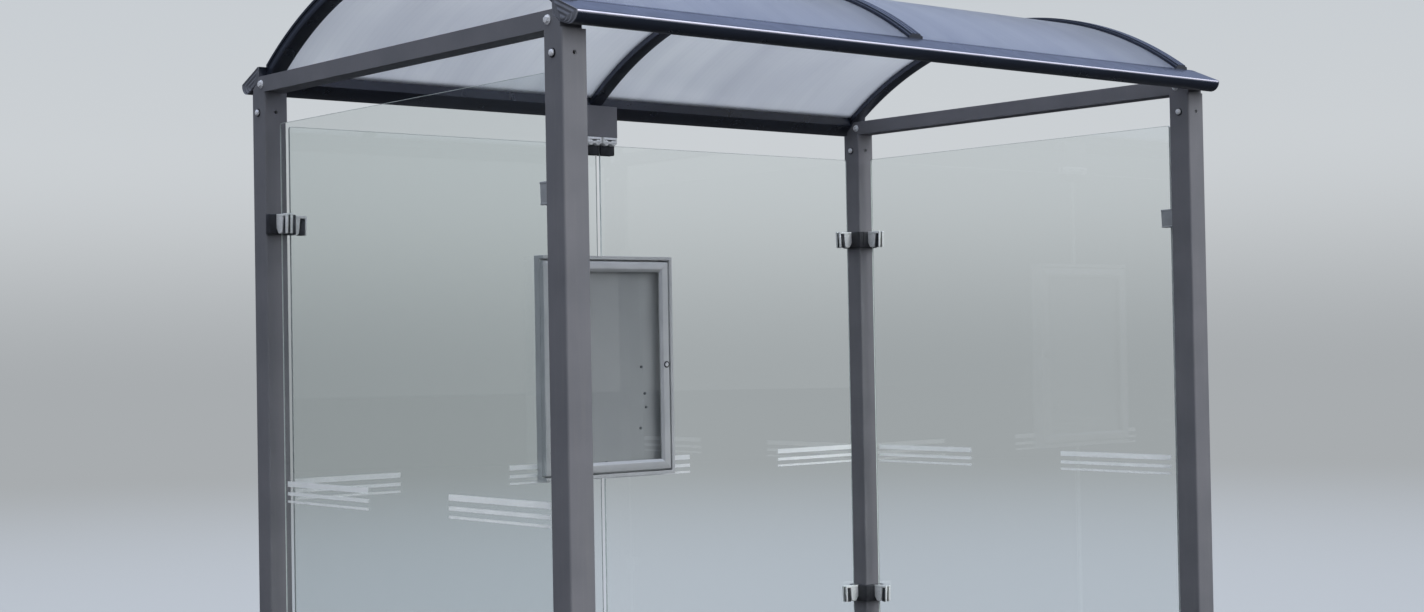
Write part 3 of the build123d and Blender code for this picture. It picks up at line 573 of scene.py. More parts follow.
def curl(start, slope, end, steps=14):
    """Arc from start to end that leaves start along the slope: its centre lies on the normal
    there, at chord squared / (2 x chord's share along the normal)."""
    start, end = np.array(start), np.array(end)
    normal = np.array([-slope[1], slope[0]]) / np.hypot(*slope)
    chord = end - start
    centre = start + normal * (chord @ chord) / (2 * chord @ normal)
    a0 = np.arctan2(*(start - centre)[::-1])
    a1 = np.arctan2(*(end - centre)[::-1])
    a = a0 + np.linspace(0, 1, steps) * ((a1 - a0) % (2 * pi))
    radius = np.hypot(*(start - centre))
    return centre + radius * np.column_stack([np.cos(a), np.sin(a)])


def belly_arc():
    """The eave's round underside, which carries on the slope up from the knee."""
    slope = (BELLY_OUT - KNEE_OUT, BELLY_RISE - KNEE_RISE)
    return curl((BELLY_OUT, BELLY_RISE), slope, (NOSE_OUT, NOSE_RISE - LIP))


def eave_section():
    """Outline of an eave as (outward, upward) from a post's top middle, counter-clockwise. The
    strip's points are given by how far out they lie and how deep they are sunk below its slope."""
    belly = belly_arc()
    slope = (STRIP_RISE - NOSE_RISE) / (NOSE_OUT - STRIP_IN)
    front = [(NOSE_OUT - 0.6, NOSE_RISE - LIP + 2), (NOSE_OUT - 1.2, NOSE_RISE - LIP_BEAD),
             (NOSE_OUT - 2.5, NOSE_RISE - 1)]
    sunk = np.array([(NOSE_OUT - 6, 0.6), (NOSE_OUT - 10, 0), (14, 0), (13, SEAM), (11, SEAM),
                     (10, 0), (STRIP_IN + 1, 0), (STRIP_IN, 0.8)])
    strip = np.column_stack([sunk[:, 0], STRIP_RISE - slope * (sunk[:, 0] - STRIP_IN) - sunk[:, 1]])
    back = [(STRIP_IN, STRIP_RISE - 3), (BACK_OUT, STRIP_RISE - 3), (BACK_OUT, BACK_FOOT),
            (KNEE_OUT, KNEE_RISE)]
    return np.array([*belly, *front, *strip, *back])


def across(section, side):
    """A section of (outward, upward) points as (y, z) points of the front or rear eave."""
    y = side * (HALF_Y + section[:, 0])
    z = TOP + section[:, 1]
    return np.column_stack([y, z])


def run_x(section, x_from, x_to):
    """A (y, z) section extruded between two X positions."""
    ends = [np.column_stack([np.full(len(section), float(x)), section]) for x in (x_from, x_to)]
    return skin(np.array(ends))


def inset(outline, by):
    """A counter-clockwise outline moved inwards: each point slides along the sum of its two
    edge normals n and m, by the distance x (n + m) / (1 + n . m)."""
    edge = np.roll(outline, -1, 0) - outline
    n = np.column_stack([-edge[:, 1], edge[:, 0]]) / np.linalg.norm(edge, axis=1, keepdims=True)
    m = np.roll(n, 1, 0)
    return outline + by * (n + m) / (1 + (n * m).sum(1, keepdims=True))


def slab(outline, low, high, edge, steps=2):
    """Plate between two heights whose rims are quarter circles of the edge radius, each step
    inset and raised to match."""
    a = np.linspace(0, pi / 2, steps + 1)
    insets = np.concatenate([edge * (1 - np.sin(a)), edge * (1 - np.cos(a))])
    heights = np.concatenate([low + edge * (1 - np.cos(a)), high - edge * (1 - np.sin(a))])
    return stack([inset(outline, i) for i in insets], heights)


def eave_cap(sx, sy):
    """End cap: the section's outline scaled by s towards a point near its knee, at a height
    that goes with cos^2(pi (1 - s) / pitch). The scaled outlines nest, so the ridges are far
    apart at the nose and close at the knee."""
    corners = [(NOSE_OUT, NOSE_RISE - LIP), (NOSE_OUT, NOSE_RISE), (STRIP_IN, STRIP_RISE),
               (BACK_OUT, BACK_FOOT), (KNEE_OUT, KNEE_RISE), (BELLY_OUT, BELLY_RISE)]
    rest = rounded(corners, (0.1, 3, 2, 2, 4, 0.1), 4)[5:-5]
    outline = np.concatenate([belly_arc(), rest])
    scale = np.linspace(1.0, 0.1, 40)
    heights = 0.3 + (CAP - 0.3) * np.cos(pi * (1 - scale) / CAP_PITCH) ** 2
    points, faces = stack([CAP_EYE + (outline - CAP_EYE) * s for s in (1.0, *scale)], [0, *heights])
    x = sx * (EAVE_END - CAP + points[:, 2])
    return np.column_stack([x, sy * (HALF_Y + points[:, 0]), TOP + points[:, 1]]), faces


def lip_bead(sy):
    """Round bead along an eave's lip."""
    middle = np.array([[NOSE_OUT - LIP_BEAD, NOSE_RISE - LIP_BEAD]])
    return run_x(across(middle + ring(LIP_BEAD, sides=16), sy), CAP - EAVE_END, EAVE_END - CAP)


eave_lacquer = surface("dark_blue_lacquer", EAVE_BLUE, EAVE_BLUE_DARK, 260, (0.26, 0.36), 5.0,
                       0.015, **CLEAR_COAT)["material"]
# Painted highlight along the lip, not a bare metal finish.
painted_lip_highlight = surface("lip_bead_painted_highlight", LIP_HIGHLIGHT, LIP_HIGHLIGHT_DULL, 60, (0.3, 0.42),
                    Metallic=0.35)["material"]
for side, sy in (("front", -1), ("rear", 1)):
    profile = across(eave_section(), sy)
    piece(side + "_eave", [run_x(profile, CAP - EAVE_END, EAVE_END - CAP)], eave_lacquer,
          replaces=["eave_" + side], sharp=24)
piece("lip_beads_painted_highlight", [lip_bead(sy) for sy in (-1, 1)], painted_lip_highlight)
cap_lacquer = surface("moulded_cap_satin", CAP_GREY, CAP_GREY_DARK, 60, (0.28, 0.36), 4.0,
                      0.01)["material"]
piece("eave_end_caps", [eave_cap(sx, sy) for sx, sy in CORNERS.values()], cap_lacquer,
      replaces=["eave_caps"], sharp=40)

# Ribs and their covers
# Flat tubes rolled to the roof's arch, and extruded covers that hold the sheets' edges down,
# with three ridges along the crown. Both are lacquered like the eaves.
ARCH_RADIUS = 1350.0
SHEET = 8.0
RIB_W, RIB_H = 50.0, 20.0
COVER_W, COVER_T = 56.0, 9.0
CROWN_W, CROWN_T = 38.0, 5.0
GROOVE_W, GROOVE_T = 3.0, 2.0
WEB = 4.0
ARCH_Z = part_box("roof_sheet_left")[1].z / MM - ARCH_RADIUS


def arched(section, reach, steps=96):
    """A section of (x, radius) points carried round the roof's axis, its ends cut upright at
    y = -reach and reach: each point's angle runs evenly between minus and plus
    asin(reach / radius)."""
    x, r = np.asarray(section, float).T
    angle = np.linspace(-1, 1, steps + 1)[:, None] * np.arcsin(reach / r)
    rings = [np.broadcast_to(x, angle.shape), r * np.sin(angle), ARCH_Z + r * np.cos(angle)]
    return skin(np.stack(rings, axis=-1))


def cover_section(x, outer):
    """Section of a cover about x: its feet on the sheets, its crown grooved twice, and on an
    end rib a web down beside the sheet's edge."""
    foot, top, crown = ARCH_RADIUS, ARCH_RADIUS + COVER_T, ARCH_RADIUS + COVER_T + CROWN_T
    half, rise = COVER_W / 2, CROWN_W / 2
    right = [(half, foot), (half, top - 1), (half - 1, top), (rise, top + 1), (rise, crown - 1.5),
             (rise - 1.5, crown)]
    bed = crown - GROOVE_T
    grooves = []
    for middle in (rise / 2.6, -rise / 2.6):
        grooves += [(middle + GROOVE_W, crown), (middle + GROOVE_W / 2, bed),
                    (middle - GROOVE_W / 2, bed), (middle - GROOVE_W, crown)]
    left = [(-a, b) for a, b in right[::-1]]
    near, far = sorted((outer * RIB_W / 2, outer * (RIB_W / 2 - WEB)))
    web = [(near, foot), (near, foot - SHEET), (far, foot - SHEET), (far, foot)] if outer else []
    return np.array(right + grooves + left + web) + [x, 0]


for side, outer in (("left", -1), ("middle", 0), ("right", 1)):
    low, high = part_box("rib_" + side)
    x = (low.x + high.x) / 2 / MM
    mid = ARCH_RADIUS - SHEET - RIB_H / 2
    tube = rounded(rectangle(RIB_W, RIB_H, x, mid), 2.0, 3)
    piece(side + "_rib", [arched(tube, high.y / MM)], eave_lacquer,
          replaces=["rib_" + side])
    reach_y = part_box("rib_cover_" + side)[1].y / MM
    piece(side + "_rib_cover", [arched(cover_section(x, outer), reach_y)], eave_lacquer,
          replaces=["rib_cover_" + side], sharp=24)

# Roof sheets
# Multiwall opal polycarbonate bent cold to the arch. Light glows through it and its skins have a
# soft gloss; the light that the upper faces send back is painted blue as a painted sky
# reflection. The walls inside show as faint lines, drawn 22 mm apart where real ones are about
# 11 mm, because those would be too fine to show.
OPAL = "#FAFAFA"
OPAL_DEEP = "#F3F3F5"
OPAL_WALL = "#D2D3DA"
# Painted sky reflection: the blue that the upper faces send back.
OPAL_SKY_REFLECTION = "#8093C0"
INNER_GLOW = 0.97
OUTER_GLOW = 0.73
FLUTE = 22.0
WALLS = {"From Min": 0.7, "From Max": 1.0, "To Max": 0.05}
STREAKS = {"From Min": 0.4, "From Max": 0.75, "To Max": 0.3}
STREAK = (9.0, 0.8, 0.8)
SHEET_EDGE = 0.6


def glowing(parts, share, tint):
    """Lets a share of the light through a surface, in the tint given."""
    tree = parts["tree"]
    glow = add(tree, "ShaderNodeBsdfTranslucent", links={"Color": tint})
    both = add(tree, "ShaderNodeMixShader", {0: share},
               {1: parts["shader"].outputs[0], 2: glow.outputs[0]})
    tree.links.new(both.outputs[0], tree.nodes["Material Output"].inputs["Surface"])
    return parts["material"]


def opal_sheet(name, through, returned):
    """A skin of the sheet: a share of the light is let through, darker at the inner walls and
    in soft streaks along the arch, and the rest is sent back in the tint given, which for the
    upper faces is a painted blue sky reflection. A wave takes 20 x its scale radians to a metre."""
    parts = surface(name, OPAL, OPAL_DEEP, 420, (0.12, 0.2), 60, 0.05, IOR=1.58)
    tree = parts["tree"]
    stripes = add(tree, "ShaderNodeTexWave",
                  {"bands_direction": "X", "wave_profile": "SIN", "Distortion": 0.0,
                   "Scale": 2 * pi * 1000 / FLUTE / 20}, {"Vector": parts["place"]}).outputs[1]
    walls = add(tree, "ShaderNodeMapRange", WALLS, {"Value": stripes})
    drawn = add(tree, "ShaderNodeMapping", {"Scale": STREAK}, {"Vector": parts["place"]})
    noise = add(tree, "ShaderNodeTexNoise", {"Scale": 1.0, "Detail": 3.0},
                {"Vector": drawn.outputs[0]}).outputs[0]
    streaks = add(tree, "ShaderNodeMapRange", STREAKS, {"Value": noise})
    share = add(tree, "ShaderNodeMath", {"operation": "ADD"},
                {0: walls.outputs[0], 1: streaks.outputs[0]})
    tinted = add(tree, "ShaderNodeMix", {"data_type": "RGBA", 7: colour(OPAL_WALL)},
                 {0: share.outputs[0], 6: parts["shade"]}).outputs[2]
    sent_back = add(tree, "ShaderNodeMix",
                    {"data_type": "RGBA", "blend_type": "MULTIPLY", 0: 1.0, 7: colour(returned)},
                    {6: tinted}).outputs[2]
    tree.links.new(sent_back, parts["shader"].inputs["Base Color"])
    return glowing(parts, through, tinted)


inner_skin = opal_sheet("opal_polycarbonate", INNER_GLOW, OPAL)
# Painted sky reflection on the skin of the faces that look up.
sky_reflection_skin = opal_sheet("polycarbonate_painted_sky_reflection", OUTER_GLOW, OPAL_SKY_REFLECTION)
for side in ("left", "right"):
    low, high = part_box("roof_sheet_" + side)
    width = (high.x - low.x) / MM
    middle = (low.x + high.x) / 2 / MM
    band = rounded(rectangle(width, SHEET, middle, ARCH_RADIUS - SHEET / 2), SHEET_EDGE, 2)
    sheet = piece(side + "_roof_sheet", [arched(band, high.y / MM)], [inner_skin, sky_reflection_skin],
                  replaces=["roof_sheet_" + side])
    # Faces that look up take the skin with the painted sky reflection.
    normals = np.empty(3 * len(sheet.data.polygons))
    sheet.data.polygons.foreach_get("normal", normals)
    upper = normals.reshape(-1, 3)[:, 2] > 0.5
    sheet.data.polygons.foreach_set("material_index", upper.astype(int))

# Glass walls
# Toughened safety glass, 8 mm thick, with ground edges that catch the light, and printed on
# each pane three pale enamel lines at waist height, left and right of a bare middle. Light
# from behind glows through the enamel.
GLASS_TINT = "#F8FBFA"
GROUND_EDGE = "#E6EDEA"
GROUND_EDGE_DARK = "#CBD8D3"
PANE_CORNER = 8.0
ARRIS = 1.0
PRINT = "#FAFBFA"
PRINT_DARK = "#F2F4F3"
PRINT_TOP = 1100.0
PRINT_LINES = ((0.0, 17.0), (33.0, 11.0), (59.0, 7.0))
PRINT_SIDE_MARGIN, PRINT_BACK_MARGIN = 20.0, 3.0
PRINT_BARE = 215.0
PRINT_T = 0.1
PRINT_GLOW = 0.4


def clear(name, tint, rough):
    """Glass that bends and mirrors light, and lets the lamps' own rays straight through so
    that it casts a light shadow."""
    material = bpy.data.materials.new(name)
    tree = blank_tree(material)
    glass = add(tree, "ShaderNodeBsdfPrincipled",
                {"Base Color": colour(tint), "Roughness": rough, "IOR": 1.5,
                 "Transmission Weight": 1.0})
    open_air = add(tree, "ShaderNodeBsdfTransparent", {"Color": colour(tint)})
    shadow = add(tree, "ShaderNodeLightPath").outputs["Is Shadow Ray"]
    both = add(tree, "ShaderNodeMixShader",
               links={0: shadow, 1: glass.outputs[0], 2: open_air.outputs[0]})
    add(tree, "ShaderNodeOutputMaterial", links={"Surface": both.outputs[0]})
    return material


def upright(solid, name, along_y):
    """A solid drawn with x along the pane, y up and z through it, stood up at the pane's
    middle."""
    low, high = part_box(name)
    middle = [(low[k] + high[k]) / 2 / MM for k in range(3)]
    x_axis = (0, 1, 0) if along_y else (1, 0, 0)
    z_axis = (1, 0, 0) if along_y else (0, -1, 0)
    return placed(solid, middle, x_axis, z_axis)


def pane_faces(width, height, thick):
    """A pane as one closed solid, with the material of each face: its ground edge takes the
    second, its two broad faces the first."""
    solid = slab(rounded(rectangle(width, height), PANE_CORNER, 6), -thick / 2, thick / 2, ARRIS, 1)
    kinds = [1] * (len(solid[1]) - 2) + [0, 0]
    return solid, kinds


def print_lines(width, height, thick, bottom, margin, face):
    """Six enamel lines on one face of a pane, left and right of its bare middle, drawn from
    the pane's centre. Each one is a thin skin."""
    length = width / 2 - margin - PRINT_BARE
    lines = []
    for drop, tall in PRINT_LINES:
        y = PRINT_TOP - drop - tall / 2 - bottom - height / 2
        for side in (-1, 1):
            outline = rounded(rectangle(length, tall, side * (PRINT_BARE + length / 2), y), 1.0, 2)
            depth = np.full(len(outline), face * (thick / 2 + PRINT_T))
            lines.append((np.column_stack([outline, depth]), [list(range(len(outline)))]))
    return lines


glass = clear("toughened_glass", GLASS_TINT, 0.0)
ground = surface("ground_glass_edge", GROUND_EDGE, GROUND_EDGE_DARK, 40, (0.35, 0.5),
                 **{"Transmission Weight": 0.1})["material"]
ink = surface("pale_enamel_print", PRINT, PRINT_DARK, 60, (0.3, 0.42))
enamel = glowing(ink, PRINT_GLOW, ink["shade"])
prints = []
for side in ("left", "right", "back_left", "back_right"):
    node = "glass_" + side
    low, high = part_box(node)
    along_y = not side.startswith("back")
    width = (high.y - low.y if along_y else high.x - low.x) / MM
    thick = (high.x - low.x if along_y else high.y - low.y) / MM
    height = (high.z - low.z) / MM
    solid, kinds = pane_faces(width, height, thick)
    pane = piece(side + "_pane", [upright(solid, node, along_y)], [glass, ground],
                 replaces=[node])
    pane.data.polygons.foreach_set("material_index", kinds)
    margin, face = (PRINT_SIDE_MARGIN, -1) if along_y else (PRINT_BACK_MARGIN, 1)
    for line in print_lines(width, height, thick, low.z / MM, margin, face):
        prints.append(upright(line, node, along_y))
piece("printed_lines", prints, enamel)

# Glass clamps
# On the rear posts, black moulded bases with chromed cast jaws round black grips, on both sides
# of the glass; the jaws' mirror shine is a painted reflection, a near-white colour in place of
# the bright sky they mirror. On the front posts plain grey lacquered jaws. In the middle of the
# back wall, above and below, jaws with a thick block in the same painted reflection and a
# black grip beyond it.
# Painted reflection: near-white colours in place of the chromed jaws' mirror shine.
JAW_PAINTED_REFLECTION = "#F0F1F0"
JAW_PAINTED_REFLECTION_DULL = "#E0E3E2"
SATIN_LIGHT = "#A9ACAE"
SATIN_DULL = "#9CA0A2"
BASE_BLACK = "#232427"
BASE_GREY = "#313236"
CLAMP_TALL, BASE_T, GLASS_SET = 62.0, 20.0, 313.0
CORNER_REACH, SHORT_REACH, NECK_REACH = 82.0, 64.0, 24.0
BLOCK_FRONT = 31.0
HANGER_OFF = 34.0
JAW_IN, JAW_OUT = 6.0, 14.5
SCREW_PLACE, SCREW_SINK = (41.0, 2.0), 2.4
GLASS_GAP = 27.0
GREY = 3


def on_face(solids, side):
    """Solids drawn with z out of the glass, turned so that z points along y on that side."""
    return [(np.column_stack([p[:, 0], side * p[:, 2], p[:, 1]]), *rest) for p, *rest in solids]


def jaw(side):
    """A rear post's jaw: a casting with a top bar, a tapering plate and a thin outer rim, round
    a black arrow-shaped grip."""
    bar = rounded([(8, 23), (CORNER_REACH, 23), (CORNER_REACH, 31), (8, 31)], 2.0, 3)
    plate = rounded([(30, -30), (53, -30), (58.5, 23.6), (8, 23.6), (8, 4)], (9, 9, 1.5, 1.5, 4), 4)
    arrow = rounded([(57, -30.5), (75, -30.5), (76, 6), (68, 22), (62, 10)], (2, 2, 3, 2, 3), 4)
    rim = rounded([(74.6, -30.6), (78.8, -30.6), (CORNER_REACH - 0.2, 23.6), (76.4, 23.6)], 0.8, 3)
    screw = turned([(6.6, 0), (6.6, 1.4), (6.0, 2.1), (4.6, 2.3)])
    # Painted shade of the screw's socket.
    hole = socket(2.6, 2.3)
    seat = [*SCREW_PLACE, JAW_OUT - SCREW_SINK]
    made = [(*slab(bar, JAW_IN, JAW_OUT, 1.2), BRIGHT),
            (*slab(plate, JAW_IN, JAW_OUT, 2.2, 3), BRIGHT),
            (*slab(arrow, JAW_IN, JAW_OUT - 1.5, 1.2), BLACK),
            (*slab(rim, JAW_IN, JAW_OUT - 0.4, 0.8), BRIGHT),
            (screw[0] + seat, screw[1], BRIGHT), (hole[0] + seat, hole[1], HOLE)]
    return on_face(made, side)


def plain_jaw(side):
    """A front post's jaw: one grey plate with rounded rims, its upper and lower bands a step
    prouder."""
    corners = [(0.6, -30.5), (61, -30.5), (SHORT_REACH - 0.2, 30.8), (0.6, 30.8)]
    plate = rounded(corners, (1, 4, 4, 1), 4)
    made = [(*slab(plate, JAW_IN, JAW_OUT - 1.2, 2.0, 3), GREY)]
    for low, high, reach in ((-30.2, -24.2, 60.8), (24.4, 30.6, SHORT_REACH - 0.6)):
        band = rounded([(1, low), (reach, low), (reach, high), (1, high)], 1.5, 3)
        made.append((*slab(band, JAW_IN, JAW_OUT, 1.2), GREY))
    return on_face(made, side)


def hanger_jaw(side):
    """A middle clamp's jaw: on the inside a thick block with a slot and two lobes, its chrome
    painted near white as a painted reflection, and a black grip beyond it."""
    flat = rounded(rectangle(SHORT_REACH - 30, 61, SHORT_REACH / 2 + 14.5, 0), (1, 5, 5, 1), 4)
    made = [(*slab(flat, JAW_IN, JAW_OUT - 0.5, 1.6), BLACK)]
    if side > 0:
        cover = rounded(rectangle(29, 61, 15.5, 0), (1, 4, 4, 1), 4)
        made.append((*slab(cover, JAW_IN, JAW_OUT - 0.5, 1.6), BRIGHT))
        return on_face(made, side)
    out = BLOCK_FRONT
    outer = rounded(rectangle(23.5, 61, 12.4, 0), (1.5, 4, 4, 1.5), 4)
    inner = rounded(rectangle(6, 46, 12, 0), 2.6, 4)
    rings = [(outer, JAW_IN), (outer, out - 2.2), (inset(outer, 0.6), out - 0.8),
             (inset(outer, 2.0), out), (inset(inner, -0.8), out), (inner, out - 0.8),
             (inner, out - 5)]
    made.append((*stack([o for o, _ in rings], [h for _, h in rings]), BRIGHT))
    made.append((*slab(inset(inner, 0.3), out - 6, out - 4.5, 0.3), BLACK))
    lobe = turned([(10.5, JAW_IN), (10.5, out - 3.5), (9.2, out - 1.2), (6.4, out - 0.2), (2, out)])
    made += [(lobe[0] + [20.3, y, 0], lobe[1], BRIGHT) for y in (-15.5, 15.5)]
    return on_face(made, side)


def base_block(y_low, y_high):
    """Moulded base on a rear post's face, its free edges rounded, drawn in the clamp's own axes."""
    middle = (y_low + y_high) / 2
    outline = rounded(rectangle(BASE_T, y_high - y_low, BASE_T / 2, middle), (0.8, 6, 6, 0.8), 5)
    return (*slab(outline, -CLAMP_TALL / 2, CLAMP_TALL / 2, 2.0, 3), BLACK)


def neck_block(kind):
    """Solid root between the jaws of a clamp without a wide base."""
    outline = rounded(rectangle(NECK_REACH - 0.6, 2 * JAW_OUT - 4, NECK_REACH / 2, 0), 1.5, 3)
    return (*slab(outline, -29, 29, 1.5), kind)


def clamp_at(solids, origin, x_axis, z_axis):
    """A clamp's solids moved to their place."""
    return [placed(solid, origin, x_axis, z_axis) for solid in solids]


# Painted chrome reflection: a near-white colour stands for what the chromed jaws mirror.
painted_chrome_reflection = surface("casting_painted_chrome_reflection", JAW_PAINTED_REFLECTION, JAW_PAINTED_REFLECTION_DULL, 9, (0.24, 0.36), 2.0, 0.02,
                      Metallic=0.2)["material"]
moulded_black = surface("moulded_black_nylon", BASE_BLACK, BASE_GREY, 25, (0.42, 0.56), 1.4,
                        0.03)["material"]
cast_satin = surface("grey_lacquered_casting", SATIN_LIGHT, SATIN_DULL, 14, (0.34, 0.46), 2.4, 0.03,
                     Metallic=0.2)["material"]
both_jaws = jaw(-1) + jaw(1)
plain = [neck_block(GREY)] + plain_jaw(-1) + plain_jaw(1)
hanging = [neck_block(BLACK)] + hanger_jaw(-1) + hanger_jaw(1)
half_post = HALF_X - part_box("post_rear_right")[0].x / MM
glass_low, glass_high = (v.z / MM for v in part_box("glass_left"))
clamps = {"left": [], "right": [], "back_left": [], "back_right": []}
for z in (glass_high - GLASS_SET, glass_low + GLASS_SET):
    for side, sx in (("left", -1), ("right", 1)):
        rear = [base_block(-half_post, half_post)] + both_jaws
        clamps[side] += clamp_at(plain, (sx * HALF_X, half_post - HALF_Y, z), (0, 1, 0), (0, 0, 1))
        clamps[side] += clamp_at(rear, (sx * HALF_X, HALF_Y - half_post, z), (0, -1, 0), (0, 0, 1))
    left = [base_block(-half_post - BASE_T, half_post)] + both_jaws
    right = [base_block(-half_post, half_post + BASE_T)] + both_jaws
    clamps["back_left"] += clamp_at(left, (half_post - HALF_X, HALF_Y, z), (1, 0, 0), (0, 0, 1))
    clamps["back_right"] += clamp_at(right, (HALF_X - half_post, HALF_Y, z), (-1, 0, 0), (0, 0, 1))
for side, x in (("back_left", -HANGER_OFF), ("back_right", HANGER_OFF)):
    clamps[side] += clamp_at(hanging, (x, HALF_Y, glass_high + GLASS_GAP), (0, 0, -1), (1, 0, 0))
    clamps[side] += clamp_at(hanging, (x, HALF_Y, glass_low - GLASS_GAP), (0, 0, 1), (-1, 0, 0))
for side, solids in clamps.items():
    piece(side + "_glass_clamps", solids, [painted_chrome_reflection, moulded_black, painted_socket_shade, cast_satin],
          replaces=["clamps_" + side])
    kept("clamp_pads_" + side, rubber_and_painted_shadow)

# Hanger plate and floor bracket
# Plates bent from 5 mm steel, one under the rear eave and one anchored to the floor, that
# carry the middle clamps. They are powder coated with the posts.
PLATE_BEND = 1.0

dressed("hanger_plate", "middle_hanger_plate", PLATE_BEND, powder_coat)
dressed("floor_bracket", "middle_floor_bracket", PLATE_BEND, powder_coat)

# Notice case
# A shallow case of extruded aluminium, satin anodised, bolted through the joint of the back
# panes and a hair's breadth off them. Its enamelled steel panel holds small round magnets.
ALUMINIUM = "#D4D6D6"
ALUMINIUM_DARK = "#C9CCCC"
PANEL_GREY = "#C6C9C9"
PANEL_GREY_DARK = "#BFC2C3"
TRAY_EDGE = 0.8
FIXING_EDGE = 0.6
BACK_AIR = 0.6
HAIR = (1600.0, 1600.0, 12.0)
MAGNET_GREY = "#8B9093"
MAGNET_DARK = "#5B6064"
PANEL_GRAIN = 8
MAGNETS = ((165, 1424), (179, 1329), (184, 1280), (158, 1206), (3, 1091))
MAGNET_R, MAGNET_T = 5.0, 4.0


def brushed(name, light, dark, patch, rough):
    """Anodised metal with the die's fine upright lines: noise about 0.6 mm wide and 80 mm tall
    lifts it by a hair."""
    parts = surface(name, light, dark, patch, rough, Metallic=0.4)
    tree = parts["tree"]
    squeezed = add(tree, "ShaderNodeMapping", {"Scale": HAIR}, {"Vector": parts["place"]})
    hair = add(tree, "ShaderNodeTexNoise", {"Scale": 1.0, "Detail": 2.0},
               {"Vector": squeezed.outputs[0]}).outputs[0]
    relief = add(tree, "ShaderNodeBump", {"Distance": 0.01 * MM, "Strength": 1.0}, {"Height": hair})
    tree.links.new(relief.outputs[0], parts["shader"].inputs["Normal"])
    return parts["material"]


anodised = brushed("satin_anodised_aluminium", ALUMINIUM, ALUMINIUM_DARK, 120, (0.3, 0.42))
panel_enamel = surface("panel_enamel", PANEL_GREY, PANEL_GREY_DARK, 200, (0.3, 0.4), PANEL_GRAIN,
                       0.01)["material"]
magnet_plastic = surface("magnet_plastic", MAGNET_GREY, MAGNET_DARK, 8, (0.3, 0.4))["material"]
tray = dressed("case_tray", "case_body", TRAY_EDGE, anodised)
corners = np.empty(3 * len(tray.data.vertices))
tray.data.vertices.foreach_get("co", corners)
corners = corners.reshape(-1, 3)
corners[:, 1] = np.minimum(corners[:, 1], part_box("case_tray")[1].y - BACK_AIR * MM)
tray.data.vertices.foreach_set("co", corners.ravel())
kept("case_panel", panel_enamel)
panel_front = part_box("case_panel")[0].y / MM
disc = turned([(MAGNET_R, 0), (MAGNET_R, MAGNET_T - 1.2), (MAGNET_R - 0.5, MAGNET_T - 0.3),
               (MAGNET_R - 1.4, MAGNET_T)])
magnets = [placed(disc, (x, panel_front, z), (1, 0, 0), (0, -1, 0)) for x, z in MAGNETS]
piece("panel_magnets", magnets, magnet_plastic)
dressed("case_fixings", "case_through_bolts", FIXING_EDGE, zinc)

# Case door
# A frame of four mitred aluminium bars with a sloping inner edge, and a clear acrylic pane in
# its groove. It hangs on a full-length hinge at the left and locks half way up at the right.
DOOR_FLAT, DOOR_BEVEL, DOOR_LIP = 25.0, 10.0, 2.0
MITRE_GAP = 0.25
ACRYLIC = "#FCFDFD"


def door_bar(corner_a, corner_b, in_a, in_b, front, thick, hinge_edge):
    """One mitred bar: its section of (inward, rearward) points stands at each corner along that
    corner's diagonal, and both ends are drawn back along the bar by the mitre's hairline gap."""
    deep = thick - 2 * DOOR_LIP - 4.0
    corners = [(0, thick), (0, 0), (DOOR_FLAT, 0), (DOOR_FLAT + DOOR_BEVEL, deep),
               (DOOR_FLAT + DOOR_BEVEL, thick)]
    section = rounded(corners, (4.0 if hinge_edge else 1.0, 1.0, 0.6, 0.4, 0.4), 3)
    along = np.array(corner_b, float) - corner_a
    along /= np.linalg.norm(along)
    rings = []
    for corner, inward, pull in ((corner_a, in_a, along), (corner_b, in_b, -along)):
        flat = np.array(corner) + section[:, :1] * np.array(inward) + pull * MITRE_GAP
        rings.append(np.column_stack([flat[:, 0], front + section[:, 1], flat[:, 1]]))
    return skin(np.array(rings))


acrylic = clear("clear_acrylic", ACRYLIC, 0.0)
low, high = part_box("case_door_frame")
x0, x1, z0, z1 = low.x / MM, high.x / MM, low.z / MM, high.z / MM
door_front, door_rear = low.y / MM, high.y / MM
corners = [((x0, z0), (1, 1)), ((x1, z0), (-1, 1)), ((x1, z1), (-1, -1)), ((x0, z1), (1, -1))]
bars = []
for i in range(4):
    (a, in_a), (b, in_b) = corners[i], corners[(i + 1) % 4]
    bars.append(door_bar(a, b, in_a, in_b, door_front, door_rear - door_front, i == 3))
piece("case_door_bars", bars, anodised, body="case_door",
      replaces=["case_door_frame"])
kept("case_door_pane", acrylic)
dressed("case_hinges", "case_hinge_barrels", 0, anodised)
dressed("case_door_hinges", "door_hinge_barrels", 0, anodised, body="case_door")

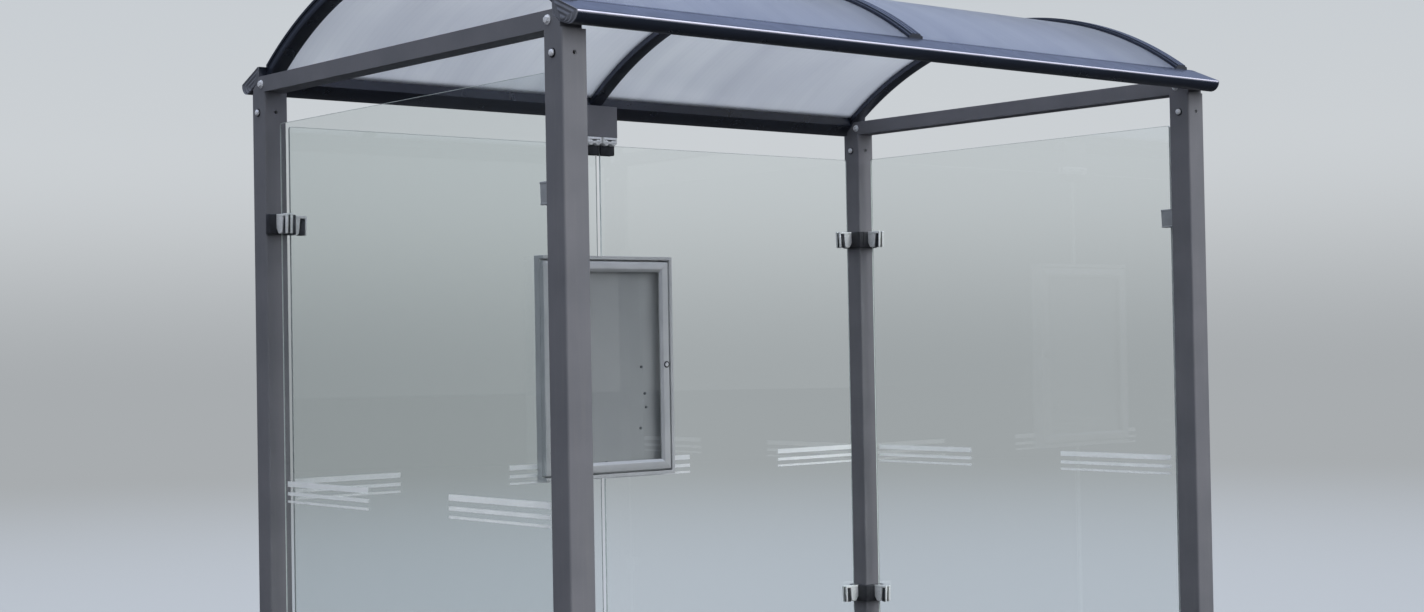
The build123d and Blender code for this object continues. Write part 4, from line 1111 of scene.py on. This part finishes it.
# Lock
# A cylinder lock: a black moulded rosette round a bright zinc-plated core with a key slot
# whose dark is painted shade, its cam behind the stile, and a black stop beside it in the gap.
LOCK_R = 9.0
LOCK_RING, LOCK_CORE = 12.0, 7.4
LOCK_PROUD = 3.0
KEY_WIDE, KEY_TALL = 1.6, 8.0
CAM_WIDE, CAM_LONG, CAM_T = 12.0, 31.0, 1.0
STOP_WIDE, STOP_TALL, STOP_OUT, STOP_BACK = 4.0, 9.0, 1.6, 8.0

low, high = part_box("case_lock")
lock_z = high.z / MM - LOCK_R
spot = ((low.x + high.x) / 2 / MM, door_front, lock_z)
behind = (spot[0], door_rear, lock_z)
beside = (x1 + STOP_OUT, door_front + STOP_BACK, lock_z)
rosette = turned([(LOCK_RING - 0.6, 0), (LOCK_RING, 0.6), (LOCK_RING - 0.4, 2.2),
                  (LOCK_CORE + 1.0, LOCK_PROUD), (LOCK_CORE + 0.2, 2.6)])
core = turned([(LOCK_CORE, 1.0), (LOCK_CORE, LOCK_PROUD - 0.5),
               (LOCK_CORE - 0.6, LOCK_PROUD - 0.1)])
# Painted shade: a dark block a hair proud of the core stands for the recessed key slot.
keyway_shade = stack([rectangle(KEY_WIDE, KEY_TALL)] * 2, [2.0, LOCK_PROUD - 0.04])
barrel = turned([(LOCK_R, 0), (LOCK_R, door_rear - door_front)])
cam_outline = rounded(rectangle(CAM_WIDE, CAM_LONG, 0, CAM_LONG / 2 - LOCK_R), 3.0, 3)
cam = slab(cam_outline, 0.0, CAM_T, 0.3)
stop = slab(rounded(rectangle(STOP_WIDE, STOP_TALL), 1.0, 2), 0, 6.0, 0.6)
parts = [(rosette, spot, -1, BLACK), (core, spot, -1, BRIGHT), (keyway_shade, spot, -1, HOLE),
         (barrel, spot, 1, BRIGHT), (cam, behind, 1, BRIGHT), (stop, beside, -1, BLACK)]
lock = [(*placed(solid, at, (1, 0, 0), (0, out, 0)), kind) for solid, at, out, kind in parts]
piece("door_lock", lock, [zinc, moulded_black, painted_socket_shade], body="case_door",
      replaces=["case_lock"])

low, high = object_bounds()
